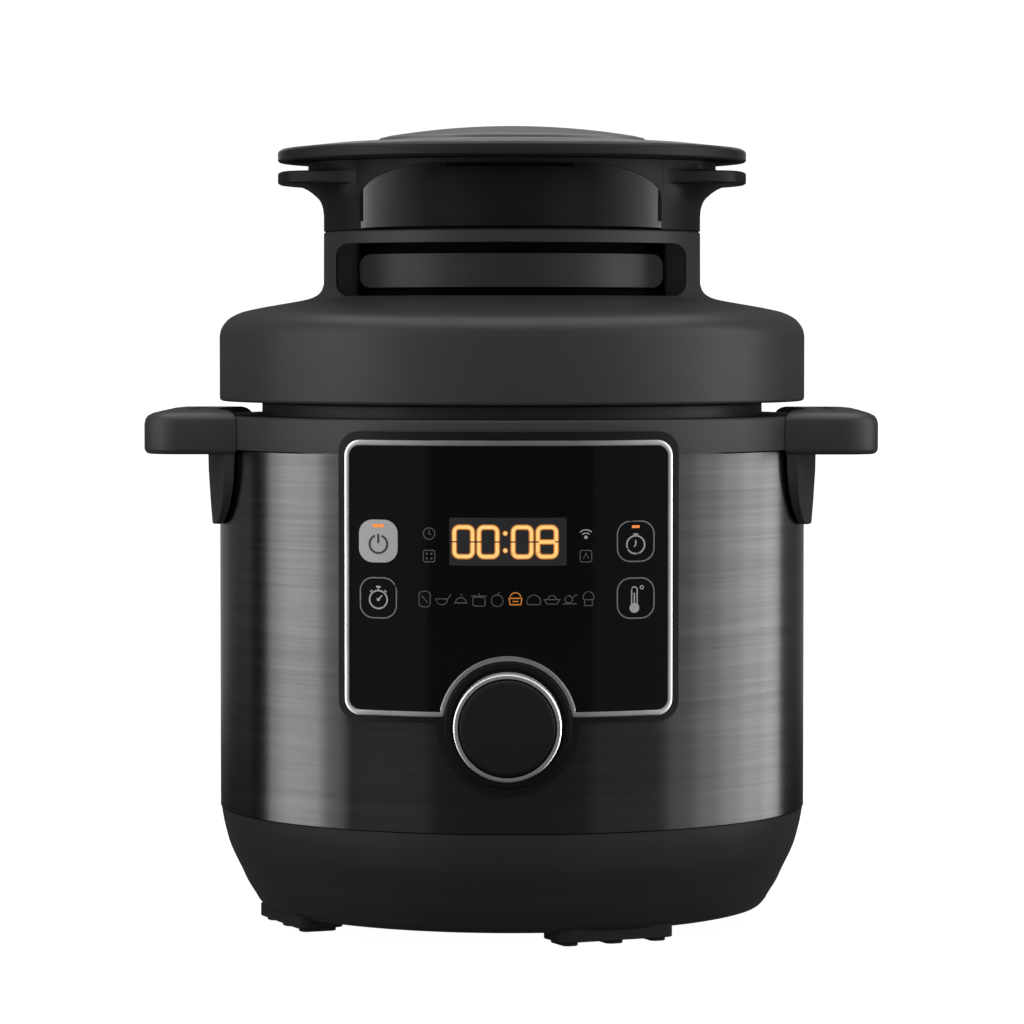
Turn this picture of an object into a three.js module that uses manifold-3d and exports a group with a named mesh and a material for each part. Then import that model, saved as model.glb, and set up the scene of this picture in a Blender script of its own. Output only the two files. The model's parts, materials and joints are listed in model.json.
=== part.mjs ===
// Electric pressure cooker. Millimetres, +Z up, front towards -Y, origin on the counter under the centre.
import * as THREE from "three";
import { mergeVertices } from "three/addons/utils/BufferGeometryUtils.js";
import Module from "manifold-3d";

// ---- driving dimensions
const R_BODY = 145; // steel housing radius
const R_BAND = 145.5; // upper band radius
const Z_SEAM = 56; // base bowl to steel seam
const Z_BAND = 233; // steel to upper band seam
const Z_BAND_TOP = 249.5;
const R_COLLAR = 124; // dark collar under the lid
const Z_LID = 256.3; // underside of the lid shoulder
const R_NECK = 93.3; // lid neck and handle pillars
const Z_NECK_TOP = 339.7; // fixed neck ends, turning handle starts
const R_TOP = 116; // top cover and grip plates
const R_DOME = 66; // pale insert
const R_DRUM = 75; // drum inside the neck
const X_HANDLE = 179; // half width over the side handles
const POT_R = 110; // inner pot outer radius
const JAW_STROKE = 5.5; // radial locking stroke over 40 degrees
const TURN = (40 * Math.PI) / 180;
const SEG = 36; // segments of the large round parts
const PI = Math.PI;

const wasm = await Module();
wasm.setup();

// ---- helpers: every shape is a three.js geometry, turned into one closed solid for the booleans
function solid(geo) {
  const g = geo.index ? geo.toNonIndexed() : geo.clone();
  const bare = new THREE.BufferGeometry().setAttribute("position", g.getAttribute("position"));
  const merged = mergeVertices(bare, 1e-4);
  const idx = merged.index.array, tri = [];
  for (let i = 0; i < idx.length; i += 3)
    if (idx[i] !== idx[i + 1] && idx[i + 1] !== idx[i + 2] && idx[i] !== idx[i + 2])
      tri.push(idx[i], idx[i + 1], idx[i + 2]);
  const make = (t) =>
    new wasm.Manifold(new wasm.Mesh({ numProp: 3, vertProperties: new Float32Array(merged.attributes.position.array), triVerts: new Uint32Array(t) }));
  let m = make(tri);
  if (m.volume() < 0) {
    for (let i = 0; i < tri.length; i += 3) [tri[i + 1], tri[i + 2]] = [tri[i + 2], tri[i + 1]];
    m = make(tri);
  }
  return m;
}
function lathe(points, seg = SEG) {
  const p = points.map(([r, z]) => new THREE.Vector2(r, z));
  if (points[0][0] > 0) p.push(p[0].clone());
  return solid(new THREE.LatheGeometry(p, seg).rotateX(PI / 2));
}
const box = (x0, x1, y0, y1, z0, z1) =>
  solid(new THREE.BoxGeometry(x1 - x0, y1 - y0, z1 - z0).translate((x0 + x1) / 2, (y0 + y1) / 2, (z0 + z1) / 2));
const cylZ = (r, z0, z1, seg = 24, x = 0, y = 0) =>
  solid(new THREE.CylinderGeometry(r, r, z1 - z0, seg).rotateX(PI / 2).translate(x, y, (z0 + z1) / 2));
const cylY = (r, y0, y1, seg = 24, x = 0, z = 0) =>
  solid(new THREE.CylinderGeometry(r, r, y1 - y0, seg).translate(x, (y0 + y1) / 2, z));
function rr(w, h, r, cx = 0, cy = 0) {
  const s = new THREE.Shape(), x0 = cx - w / 2, x1 = cx + w / 2, y0 = cy - h / 2, y1 = cy + h / 2;
  s.moveTo(x0 + r, y0).lineTo(x1 - r, y0).absarc(x1 - r, y0 + r, r, -PI / 2, 0).lineTo(x1, y1 - r)
    .absarc(x1 - r, y1 - r, r, 0, PI / 2).lineTo(x0 + r, y1).absarc(x0 + r, y1 - r, r, PI / 2, PI)
    .lineTo(x0, y0 + r).absarc(x0 + r, y0 + r, r, PI, 1.5 * PI);
  return s;
}
const poly = (pts) => new THREE.Shape(pts.map(([a, b]) => new THREE.Vector2(a, b)));
const extrude = (shape, depth, curve) => new THREE.ExtrudeGeometry(shape, { depth, bevelEnabled: false, curveSegments: curve });
const prismZ = (shape, z0, z1, curve = 4) => solid(extrude(shape, z1 - z0, curve).translate(0, 0, z0));
// shape drawn as (x, z), extruded between y0 and y1
const prismY = (shape, y0, y1, curve = 4) => solid(extrude(shape, y1 - y0, curve).rotateX(PI / 2).translate(0, y1, 0));
// shape drawn as (y, z), extruded between x0 and x1
const prismX = (shape, x0, x1, curve = 4) =>
  solid(extrude(shape, x1 - x0, curve).rotateX(PI / 2).rotateZ(PI / 2).translate(x0, 0, 0));
const rotZ = (m, deg) => m.rotate([0, 0, deg]);
const shell = (r0, r1, z0, z1, seg = SEG) => lathe([[r0, z0], [r1, z0], [r1, z1], [r0, z1]], seg);
// a wedge of the full circle, centred on azimuth deg from +X, with the given half angle
function sector(deg, half, r, z0, z1) {
  const pts = [[0, 0]];
  for (let i = 0; i <= 8; i++) {
    const a = ((deg - half + (2 * half * i) / 8) * PI) / 180;
    pts.push([r * Math.cos(a), r * Math.sin(a)]);
  }
  return prismZ(poly(pts), z0, z1);
}
function coil(r, wire, z0, z1, turns) {
  class Helix extends THREE.Curve {
    getPoint(t, out = new THREE.Vector3()) {
      const a = 2 * PI * turns * t;
      return out.set(r * Math.cos(a), r * Math.sin(a), z0 + wire + (z1 - z0 - 2 * wire) * t);
    }
  }
  const ring = new THREE.Shape();
  ring.absarc(0, 0, wire, 0, 2 * PI);
  return solid(new THREE.ExtrudeGeometry(ring, { steps: 10 * turns, curveSegments: 2, bevelEnabled: false, extrudePath: new Helix() }));
}

// ---- named pieces
const root = new THREE.Group();
root.name = "electric_pressure_cooker";
const COLORS = {
  black: [0x17181a, 0.6, 0], steel: [0x3a3836, 0.35, 1], bright: [0xc9cbcd, 0.25, 1], gloss: [0x08090a, 0.12, 0],
  pale: [0x9b9d9f, 0.6, 0], rubber: [0x202020, 0.9, 0], green: [0x1d4d2b, 0.6, 0], alu: [0xa9abad, 0.5, 1],
  white: [0xd8d8d4, 0.5, 0], red: [0xb03020, 0.5, 0], coat: [0x3c3d40, 0.6, 0.2], smoke: [0x55595c, 0.3, 0],
  drum: [0x5d5b58, 0.4, 0.8], key: [0x8f8f8c, 0.5, 0], screen: [0x2a2b2e, 0.3, 0],
};
function piece(name, m, kind) {
  const mesh = m.getMesh(), g = new THREE.BufferGeometry();
  g.setAttribute("position", new THREE.BufferAttribute(new Float32Array(mesh.vertProperties), 3));
  g.setIndex(new THREE.BufferAttribute(new Uint32Array(mesh.triVerts), 1));
  g.computeVertexNormals();
  const [color, roughness, metalness] = COLORS[kind];
  const out = new THREE.Mesh(g, new THREE.MeshStandardMaterial({ name, color, roughness, metalness, flatShading: true }));
  out.name = name;
  root.add(out);
}

// ---- housing
let base = lathe([[121, 8.3], [123.5, 8.3], [128, 13.7], [132, 19.6], [138, 31.6], [142, 43.5], [144.5, 55.7],
  [141.5, 55.7], [139, 43.8], [135, 32.4], [129, 21], [125, 15], [121, 12.5]]);
base = base.subtract(prismY(rr(35, 27, 3, 0, 33), 120, 150, 2));
piece("base_shell", base, "black");

let cover = lathe([[0, 8.6], [120.3, 8.6], [120.3, 11.2], [0, 11.2]]);
for (let i = -1; i <= 1; i++) {
  cover = cover.subtract(box(i * 20 - 3, i * 20 + 3, -70, -30, 5, 15)).subtract(box(i * 20 - 3, i * 20 + 3, 30, 62, 5, 15));
}
for (const [x, y] of [[-40, 0], [40, 0]]) cover = cover.add(cylZ(4.5, 11, 17.6, 12, x, y));
piece("bottom_cover", cover, "black");

// four feet, each a block with three flat pads below
const FOOT_AZ = [24, 115, 204, 295]; // from the front towards +X
FOOT_AZ.forEach((az, i) => {
  let f = prismZ(rr(60, 24, 6, 0, 0), 1.6, 8.3, 2);
  for (const [x, w] of [[0, 24], [-22, 12], [22, 12]]) f = f.add(box(x - w / 2, x + w / 2, -9, 9, 0, 2));
  piece("rubber_foot_" + (i + 1), rotZ(f.translate([0, -108, 0]), az), "rubber");
});

let steel = shell(144, R_BODY, Z_SEAM, Z_BAND - 0.2);
steel = steel.subtract(box(-66, 66, -150, -100, 118, 226)).subtract(cylY(10, -150, -100, 16, 0, 107.5));
piece("steel_shell", steel, "steel");

piece("upper_ring", lathe([[142.8, 233.1], [R_BAND, 233.1], [R_BAND, 248.5], [144.5, Z_BAND_TOP], [R_COLLAR, Z_BAND_TOP],
  [R_COLLAR, 255.5], [121, 255.5], [121, 247.7], [142.8, 247.7]]), "black");

// side handles, each with the apron below it
function sideHandle(sign) {
  const plan = new THREE.Shape();
  const xc = X_HANDLE - 18;
  plan.moveTo(100, -60).lineTo(xc, -60).absarc(xc, -42, 18, -PI / 2, 0).lineTo(X_HANDLE, 42).absarc(xc, 42, 18, 0, PI / 2).lineTo(100, 60);
  const top = new THREE.Shape();
  top.moveTo(100, -56).lineTo(xc - 2, -56).absarc(xc - 2, -41, 15, -PI / 2, 0).lineTo(xc + 13, 41).absarc(xc - 2, 41, 15, 0, PI / 2).lineTo(100, 56);
  let h = prismZ(plan, 231, 249.3, 4).add(prismZ(top, 249, 252.5, 4));
  const apron = poly([[-58, 232], [-54, 214], [-47, 203], [-36, 196], [36, 196], [47, 203], [54, 214], [58, 232]]);
  h = h.add(prismX(apron, 110, 152).intersect(lathe([[0, 180], [150.8, 180], [150.8, 260], [0, 260]])));
  h = h.subtract(lathe([[0, 180], [145.9, 180], [145.9, 260], [0, 260]]));
  return sign > 0 ? h : rotZ(h, 180);
}
piece("side_handle_right", sideHandle(1), "black");
piece("side_handle_left", sideHandle(-1), "black");

piece("lock_ring", lathe([[118.5, 244.9], [123.6, 244.9], [123.6, 232], [127, 232], [127, 247.3], [118.5, 247.3]]), "bright");
piece("pressure_housing", lathe([[78, 44.6], [111.8, 44.6], [114.8, 48.6], [114.8, 230], [127, 230], [127, 231.4], [113.5, 231.4], [113.5, 49.5], [111, 46], [78, 46]]), "bright");

// heating parts
piece("heating_plate", lathe([[16, 47], [75, 47], [75, 54], [70, 56.4], [16, 57]]), "alu");
piece("heating_element", lathe([[55, 41.2], [58, 40], [61, 41.2], [62, 43.6], [61, 46], [58, 46.7], [55, 46], [54, 43.6]], 20), "alu");
let support = lathe([[18, 34], [84, 34], [84, 43.6], [81.5, 43.6], [81.5, 36], [18, 36]], 24);
for (const a of [90, 210, 330]) {
  const x = 70 * Math.cos((a * PI) / 180), y = 70 * Math.sin((a * PI) / 180);
  support = support.add(cylZ(4, 35, 46.6, 8, x, y));
  support = support.add(cylZ(4, 11.6, 35, 8, x, y));
}
piece("heater_support", support, "bright");
piece("thermal_sensor", lathe([[0, 56.8], [13, 56.8], [14, 55.6], [14, 48], [5, 48], [5, 40], [0, 40]].reverse(), 24), "alu");
piece("sensor_spring", coil(8.5, 0.8, 37, 47.7, 3), "bright");
piece("sensor_bracket", lathe([[5.6, 29], [20, 29], [20, 33.7], [12, 33.7], [12, 36.6], [5.6, 36.6]], 16), "bright");

// electrics
let pcb = box(-48, 48, -24, 24, 18, 19.6);
pcb = pcb.add(box(-40, -20, -18, -2, 19, 30)).add(box(8, 26, -16, 0, 19, 27)).add(cylZ(5, 19, 32, 12, 36, 12)).add(cylZ(5, 19, 28, 12, -36, 12));
piece("power_board", pcb, "green");
piece("transformer", box(-14, 4, 2, 20, 20, 27.5), "coat");
piece("thermal_fuse", solid(new THREE.CylinderGeometry(2.4, 2.4, 16, 10).rotateZ(PI / 2).translate(0, 40, 31.2)), "white");
let inlet = prismY(rr(34, 26, 3, 0, 33), 122, 144.5, 2).add(prismY(rr(42, 34, 3, 0, 33), 144.3, 146.3, 2));
inlet = inlet.subtract(box(-12.5, 12.5, 130, 148, 24.5, 41.5));
for (const [x, z] of [[-7, 31], [7, 31], [0, 36]]) inlet = inlet.add(box(x - 1, x + 1, 129, 143, z - 2.2, z + 2.2));
piece("mains_inlet", inlet, "black");

// control panel, curved with the body
const outlineOuter = (g) => prismY(rr(160 + 2 * g, 136 + 2 * g, 9 + g, 0, 176), -152, -100, 4);
let frame = shell(146.1, 147.6, 60, 250).intersect(outlineOuter(0).add(cylY(33.5, -152, -100, 28, 0, 107.5)));
let rim = shell(147.4, 149.2, 60, 250).intersect(outlineOuter(0)).subtract(prismY(rr(153.2, 129.6, 6.4, 0, 175.5), -160, -90, 4));
frame = frame.add(rim.subtract(cylY(32.6, -160, -90, 28, 0, 107.5)));
frame = frame.add(cylY(29.4, -150.6, -143, 28, 0, 107.5).subtract(lathe([[0, 60], [146.1, 60], [146.1, 200], [0, 200]])));
frame = frame.subtract(cylY(4, -160, -100, 12, 0, 107.5));
frame = frame.subtract(prismY(rr(56, 23.6, 2, 0, 193.1), -160, -100, 3));
const KEYS = [["key_power", -60.5, 192.4], ["key_timer", 60.5, 192.4], ["key_clock", -60.5, 165.8], ["key_temperature", 60.5, 165.8]];
const keyAngle = (x) => (Math.asin(x / 149) * 180) / PI;
const keyHole = (x, z, grow) => rotZ(prismY(rr(20 + grow, 20 + grow, 3, 0, z), -160, -140, 2), keyAngle(x));
for (const [, x, z] of KEYS) frame = frame.subtract(keyHole(x, z, 0.9));
piece("panel_frame", frame, "black");

let trim = shell(147.9, 149.7, 60, 250).intersect(prismY(rr(152.6, 129, 6, 0, 175.5), -160, -100, 4).subtract(prismY(rr(147.6, 124, 4, 0, 175.5), -165, -90, 3)));
trim = trim.subtract(cylY(30.9, -160, -100, 28, 0, 107.5));
const arc = cylY(32.3, -150.4, -144, 28, 0, 107.5).subtract(cylY(29.9, -160, -140, 28, 0, 107.5))
  .intersect(box(-40, 40, -160, -140, 107.5, 150)).subtract(lathe([[0, 60], [147.9, 60], [147.9, 200], [0, 200]]));
trim = trim.add(arc);
piece("chrome_trim", trim, "bright");

let glass = shell(147.9, 149.4, 60, 250).intersect(prismY(rr(147, 123.4, 3.7, 0, 175.5), -160, -100, 4)).subtract(cylY(32.7, -160, -100, 28, 0, 107.5));
for (const [, x, z] of KEYS) glass = glass.subtract(keyHole(x, z, 0.9));
piece("panel_glass", glass, "gloss");
for (const [name, x, z] of KEYS) {
  const k = shell(147.9, 149.9, 60, 250).intersect(keyHole(x, z, 0));
  piece(name, k, name === "key_power" ? "key" : "gloss");
}
piece("display_module", prismY(rr(54.8, 22.4, 1.5, 0, 193.1), -147.0, -138, 3).intersect(lathe([[0, 170], [147.2, 170], [147.2, 215], [0, 215]])), "screen");
let board = box(-61, 61, -124.6, -123, 126, 224);
board = board.add(box(-18, 18, -137.4, -124, 184, 202)).add(box(-30, -20, -122.9 - 1, -119.6, 140, 152));
piece("control_board", board, "green");
piece("encoder", box(-8, 8, -142.6, -132, 99.5, 115.5), "white");
const ribbon = poly([[-127.2, 124.5], [-127.2, 48], [-70, 20.6], [-24.4, 20.6], [-24.4, 21.4], [-69.7, 21.4], [-126.4, 48.5], [-126.4, 124.5]]);
piece("ribbon_lead", prismX(ribbon, -6, 6), "white");

// rotary knob and its ring
let knob = cylY(22.3, -166.8, -151.2, 32, 0, 107.5).add(cylY(3, -152, -142.9, 12, 0, 107.5)).add(cylY(20.5, -168, -166, 32, 0, 107.5));
piece("knob_body", knob, "black");
piece("knob_ring", cylY(25.1, -166, -151.2, 36, 0, 107.5).subtract(cylY(22.8, -170, -140, 32, 0, 107.5)), "bright");

// condensation cup at the back
let bracket = box(-36, 36, 139, 149.4, 150, 222).subtract(lathe([[0, 140], [145.4, 140], [145.4, 230], [0, 230]]));
bracket = bracket.add(box(-36, 36, 147.5, 166, 214.5, 222));
piece("collector_bracket", bracket, "black");
let cup = box(-32, 32, 150, 168, 148, 213.6).subtract(box(-29.6, 29.6, 152.4, 165.6, 150.6, 220));
piece("condensation_collector", cup, "smoke");

// ---- inner pot
piece("inner_pot", lathe([[0, 57.4], [92, 57.4], [102, 60.5], [108.5, 68], [POT_R, 76], [POT_R, 231.7], [117, 231.7], [117, 234],
  [108, 234], [108, 77], [106.5, 69.5], [101, 62.8], [92, 59.6], [0, 59.6]]), "coat");

// ---- lid
let lid = lathe([[143.5, Z_LID], [R_BODY, 258], [R_BODY, 288], [142.5, 294.2], [134, 300.2], [103.2, 306.1], [95.2, 309.4],
  [90.3, 309.4], [90.3, 307.6], [102, 303.2], [132.5, 297.3], [139.5, 292.5], [142, 287], [142, 259.3], [114, 259.3], [114, 240.7],
  [117, 240.7], [117, Z_LID]]);
const neckWindow = prismY(rr(164, 22, 9, 0, 322.4), -100, -38, 4);
const backWindow = prismY(rr(120, 22, 9, 0, 322.4), 50, 100, 4);
const JAW_AZ = [45, 135, 225, 315];
for (const a of JAW_AZ) lid = lid.subtract(rotZ(box(108, 130, -13.9, 13.9, 240, 245), a));
piece("lid_shell", lid, "black");
const neck = lathe([[90.3, 309.7], [95, 309.7], [R_NECK, 313], [R_NECK, Z_NECK_TOP], [90.3, Z_NECK_TOP]]);
piece("lid_neck", neck.subtract(neckWindow).subtract(backWindow), "black");

piece("inner_drum", lathe([[8, 268], [138, 268], [138, 259.6], [140.5, 259.6], [140.5, 270.5], [R_DRUM, 270.5], [R_DRUM, 373], [72.5, 373], [72.5, 270.5], [8, 270.5]]), "drum");

let plate = lathe([[5, 231], [105, 231], [105, 238.4], [116.5, 238.4], [116.5, 240.3], [103, 240.3], [103, 233], [5, 233]]);
const VALVE = [0, 38], FLOAT = [38, 0];
plate = plate.subtract(cylZ(4.6, 225, 245, 14, ...VALVE)).subtract(cylZ(4.6, 225, 245, 14, ...FLOAT));
piece("lid_inner_plate", plate, "bright");
piece("sealing_ring", lathe([[105.5, 234.3], [116, 234.3], [116, 238.1], [105.5, 238.1]]), "pale");
piece("valve_seat", lathe([[2, 227], [4.2, 227], [4.2, 233.3], [8, 233.3], [8, 239], [2, 239]], 16).translate([VALVE[0], VALVE[1], 0]), "bright");
const cap = lathe([[3.2, 224.3], [12, 224.3], [12, 230.7], [10.4, 230.7], [10.4, 226], [3.2, 226]], 20);
piece("anti_block_cap", cap.translate([VALVE[0], VALVE[1], 0]), "bright");
piece("pressure_valve", lathe([[0, 236], [1.4, 236], [1.4, 239.4], [10, 239.4], [10, 250], [0, 250]], 18).translate([VALVE[0], VALVE[1], 0]), "black");
piece("float_valve", lathe([[0, 222.8], [6.5, 222.8], [6.5, 226.4], [3.9, 226.4], [3.9, 233.4], [6.3, 233.4], [6.3, 240], [3.9, 240], [3.9, 246], [0, 246]], 12).translate([FLOAT[0], FLOAT[1], 0]), "red");

// locking jaws: a flat bar with a curved nose and an upright pin that follows the cam slot
const PIN_R = 3, PIN_AT = 60;
JAW_AZ.forEach((a, i) => {
  let j = box(52, 125, -13, 13, 240.8, 244.4).intersect(lathe([[0, 230], [116.5, 230], [116.5, 250], [0, 250]]).translate([0, 0, 0]));
  j = j.add(cylZ(PIN_R, 244, 266.8, 12, PIN_AT, 0));
  piece("locking_jaw_" + (i + 1), rotZ(j, a), "bright");
});

// cam disc with four spiral slots
let cam = lathe([[7.4, 262.2], [74, 262.2], [74, 265.4], [7.4, 265.4]]);
const slotPts = [], half = PIN_R + 0.5;
const T0 = -0.075, T1 = TURN + 0.075, STEPS = 8;
for (let s = 0; s <= STEPS; s++) {
  const t = T0 + ((T1 - T0) * s) / STEPS, r = PIN_AT + (JAW_STROKE / TURN) * t + half, az = PI / 4 - t;
  slotPts.push([r * Math.cos(az), r * Math.sin(az)]);
}
for (let s = STEPS; s >= 0; s--) {
  const t = T0 + ((T1 - T0) * s) / STEPS, r = PIN_AT + (JAW_STROKE / TURN) * t - half, az = PI / 4 - t;
  slotPts.push([r * Math.cos(az), r * Math.sin(az)]);
}
const slot = prismZ(poly(slotPts), 255, 272);
for (let i = 0; i < 4; i++) cam = cam.subtract(rotZ(slot, 90 * i));
piece("cam_disc", cam, "bright");

// ---- turning handle
piece("hub_shaft", lathe([[3.2, 258.4], [12, 258.4], [12, 261.9], [7, 261.9], [7, 380.5], [20, 380.5], [20, 383], [3.2, 383]], 16), "bright");
let grip = shell(89.8, R_NECK, 340.6, 373.7);
grip = grip.subtract(shell(60, 89.8, 339, 375));
const wing = lathe([[89.8, 352], [R_NECK, 352], [100, 359.2], [101, 363], [R_TOP, 363], [R_TOP, 369], [101, 369], [101, 373.7], [89.8, 373.7]]);
const lobes = sector(0, 38, 140, 345, 380).add(sector(180, 38, 140, 345, 380));
grip = grip.add(wing.intersect(lobes));
const arch = [[-73, 339], [73, 339], [73, 356], [70, 361], [62, 365.5], [50, 369.2], [32, 371.4], [-32, 371.4], [-50, 369.2], [-62, 365.5], [-70, 361], [-73, 356]];
const handleWindow = prismY(poly(arch), -120, -20).add(prismY(poly(arch), 20, 120));
grip = grip.subtract(handleWindow.intersect(lathe([[0, 330], [96, 330], [96, 380], [0, 380]])));
piece("handle_frame", grip, "black");

piece("top_cover", lathe([[7.6, 374], [115.3, 374], [R_TOP, 374.8], [R_TOP, 379.2], [115.3, 380], [92, 382.8], [66.4, 384.5], [66.4, 380.2], [7.6, 380.2]]), "black");
piece("dome_insert", lathe([[62, 380.6], [R_DOME, 380.6], [R_DOME, 386.1], [40, 389.9], [12.7, 391.8], [12.7, 389.6], [40, 387.7], [62, 384.4]]), "pale");
piece("release_button", lathe([[0, 387.2], [12, 387.2], [12, 391.2], [11, 391.8], [0, 392]], 24), "pale");
piece("release_rod", cylZ(2.4, 230.8, 386.9, 12).add(cylZ(8, 228.6, 230.7 + 0.2, 16)), "bright");
piece("release_spring", coil(7, 0.7, 383.3, 386.9, 2), "bright");

export default root;
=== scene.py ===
import bpy, bmesh, json, math
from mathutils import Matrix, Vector

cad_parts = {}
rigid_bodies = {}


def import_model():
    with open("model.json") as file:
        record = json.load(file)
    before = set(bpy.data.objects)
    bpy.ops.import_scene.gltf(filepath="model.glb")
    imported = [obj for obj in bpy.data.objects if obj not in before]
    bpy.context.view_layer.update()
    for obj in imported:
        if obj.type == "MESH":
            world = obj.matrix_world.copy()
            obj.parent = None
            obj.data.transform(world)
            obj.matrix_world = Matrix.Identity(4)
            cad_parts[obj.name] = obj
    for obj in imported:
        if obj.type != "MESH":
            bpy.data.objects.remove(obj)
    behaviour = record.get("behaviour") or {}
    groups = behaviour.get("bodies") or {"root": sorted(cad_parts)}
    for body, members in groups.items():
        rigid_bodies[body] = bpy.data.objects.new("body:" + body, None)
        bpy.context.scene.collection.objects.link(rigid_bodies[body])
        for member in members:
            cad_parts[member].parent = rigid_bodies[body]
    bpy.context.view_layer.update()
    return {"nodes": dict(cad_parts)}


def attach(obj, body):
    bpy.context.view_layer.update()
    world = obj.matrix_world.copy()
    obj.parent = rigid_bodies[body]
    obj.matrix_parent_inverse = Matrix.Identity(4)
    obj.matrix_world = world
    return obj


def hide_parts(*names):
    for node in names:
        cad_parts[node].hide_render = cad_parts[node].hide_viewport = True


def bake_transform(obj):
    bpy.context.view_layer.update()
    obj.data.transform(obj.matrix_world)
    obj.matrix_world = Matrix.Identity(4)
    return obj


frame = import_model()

MM = 0.001
PI = math.pi
NODES = frame["nodes"]

# ------------------------------------------------------------------ materials


class Mat:
    def __init__(self, name, base, rough, metal=0.0, **kw):
        m = bpy.data.materials.new(name)
        m.use_nodes = True
        self.m, self.t = m, m.node_tree
        self.t.nodes.clear()
        self.out = self.n("ShaderNodeOutputMaterial")
        self.b = self.n("ShaderNodeBsdfPrincipled")
        self.l(self.b.outputs[0], self.out.inputs[0])
        self.b.inputs["Base Color"].default_value = (*base, 1)
        self.b.inputs["Roughness"].default_value = rough
        self.b.inputs["Metallic"].default_value = metal
        for k, v in kw.items():
            self.b.inputs[k].default_value = v
        self.co = self.n("ShaderNodeTexCoord").outputs["Object"]

    def n(self, kind, **kw):
        x = self.t.nodes.new(kind)
        for k, v in kw.items():
            setattr(x, k, v)
        return x

    def l(self, a, b):
        self.t.links.new(a, b)

    def noise(self, scale, detail=3.0, vec=None, stretch=None, rough=0.5):
        v = vec or self.co
        if stretch:
            mp = self.n("ShaderNodeMapping")
            mp.inputs["Scale"].default_value = stretch
            self.l(v, mp.inputs["Vector"])
            v = mp.outputs[0]
        t = self.n("ShaderNodeTexNoise")
        t.inputs["Scale"].default_value = scale
        t.inputs["Detail"].default_value = detail
        t.inputs["Roughness"].default_value = rough
        self.l(v, t.inputs["Vector"])
        return t.outputs["Fac"]

    def ramp(self, fac, lo, hi, a=0.3, b=0.7):
        r = self.n("ShaderNodeMapRange")
        r.inputs["From Min"].default_value = a
        r.inputs["From Max"].default_value = b
        r.inputs["To Min"].default_value = lo
        r.inputs["To Max"].default_value = hi
        self.l(fac, r.inputs["Value"])
        return r.outputs[0]

    def color(self, fac, c0, c1, a=0.3, b=0.7):
        r = self.n("ShaderNodeValToRGB")
        r.color_ramp.elements[0].position = a
        r.color_ramp.elements[1].position = b
        r.color_ramp.elements[0].color = (*c0, 1)
        r.color_ramp.elements[1].color = (*c1, 1)
        self.l(fac, r.inputs[0])
        self.l(r.outputs[0], self.b.inputs["Base Color"])
        return r

    def rough(self, fac, lo, hi, a=0.3, b=0.7):
        self.l(self.ramp(fac, lo, hi, a, b), self.b.inputs["Roughness"])

    def bump(self, fac, strength, dist=0.0002):
        bp = self.n("ShaderNodeBump")
        bp.inputs["Strength"].default_value = strength
        bp.inputs["Distance"].default_value = dist
        self.l(fac, bp.inputs["Height"])
        self.l(bp.outputs[0], self.b.inputs["Normal"])


def plastic(name, base, r0, r1, spec=0.5, grain=2600, strength=0.12):
    m = Mat(name, (base,) * 3, r0)
    m.b.inputs["Specular IOR Level"].default_value = spec
    big = m.noise(9.0, 3.0)
    m.color(big, (base * 0.92, base * 0.93, base * 0.95), (base * 1.08, base * 1.07, base * 1.06))
    m.rough(m.noise(40.0, 4.0), r0, r1)
    m.bump(m.noise(grain, 2.0), strength, 0.00006)
    return m.m


BLACK = plastic("satin_black", 0.036, 0.36, 0.43, 0.25)
BLACK_TOP = plastic("satin_black_top", 0.017, 0.40, 0.48, 0.16)
# darker copy of the satin black: painted shade for the turning grip and its ears, which sit in shadow under the top
# plate
GRIP_SHADE_BLACK = plastic("satin_black_grip_painted_shade", 0.010, 0.38, 0.46, 0.15)
BLACK_BASE = plastic("satin_black_base", 0.027, 0.36, 0.44, 0.2)
BEZEL = plastic("satin_black_bezel", 0.004, 0.38, 0.46, 0.14)
DRUM = plastic("drum_satin", 0.014, 0.34, 0.40, 0.4)
DRUM_PANEL = plastic("drum_panel_satin", 0.044, 0.34, 0.40, 0.4)
KNOB = plastic("knob_face", 0.0045, 0.5, 0.56, 0.22)
PALE = plastic("pale_dome", 0.16, 0.30, 0.36, 0.6, 2000, 0.1)
KEYPAD = plastic("key_light", 0.42, 0.4, 0.5, 0.5)
RUBBER = plastic("rubber_foot", 0.012, 0.75, 0.85, 0.3, 1500, 0.4)
SILICONE = plastic("silicone_ring", 0.45, 0.45, 0.55, 0.5, 1200, 0.2)
WHITE = plastic("white_part", 0.6, 0.45, 0.55, 0.5)


def brushed(name, c0, c1, r0, r1, metal=1.0, along="round", aniso=0.0, fine=1500.0):
    m = Mat(name, c0, r0, metal)
    if aniso:
        m.b.inputs["Anisotropic Rotation"].default_value = 0.25
        m.b.inputs["Specular Tint"].default_value = (0.45, 0.45, 0.45, 1)
    st = (14.0, 14.0, fine) if along == "round" else (fine, fine, 14.0)
    f1 = m.noise(1.0, 3.0, stretch=st, rough=0.6)
    f2 = m.noise(1.0, 2.0, stretch=(5.0, 5.0, fine * 0.16))
    mix = m.n("ShaderNodeMath", operation="MULTIPLY_ADD")
    m.l(f2, mix.inputs[0])
    mix.inputs[1].default_value = 0.5
    half = m.n("ShaderNodeMath", operation="MULTIPLY")
    m.l(f1, half.inputs[0])
    half.inputs[1].default_value = 0.5
    m.l(half.outputs[0], mix.inputs[2])
    m.color(mix.outputs[0], c0, c1, 0.38, 0.62)
    m.rough(mix.outputs[0], r0, r1, 0.35, 0.65)
    m.bump(f1, 0.035, 0.00004)
    if aniso:
        m.b.inputs["Anisotropic"].default_value = aniso
        tg = m.n("ShaderNodeTangent", direction_type="RADIAL", axis="Z")
        m.l(tg.outputs[0], m.b.inputs["Tangent"])
    return m.m


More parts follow.
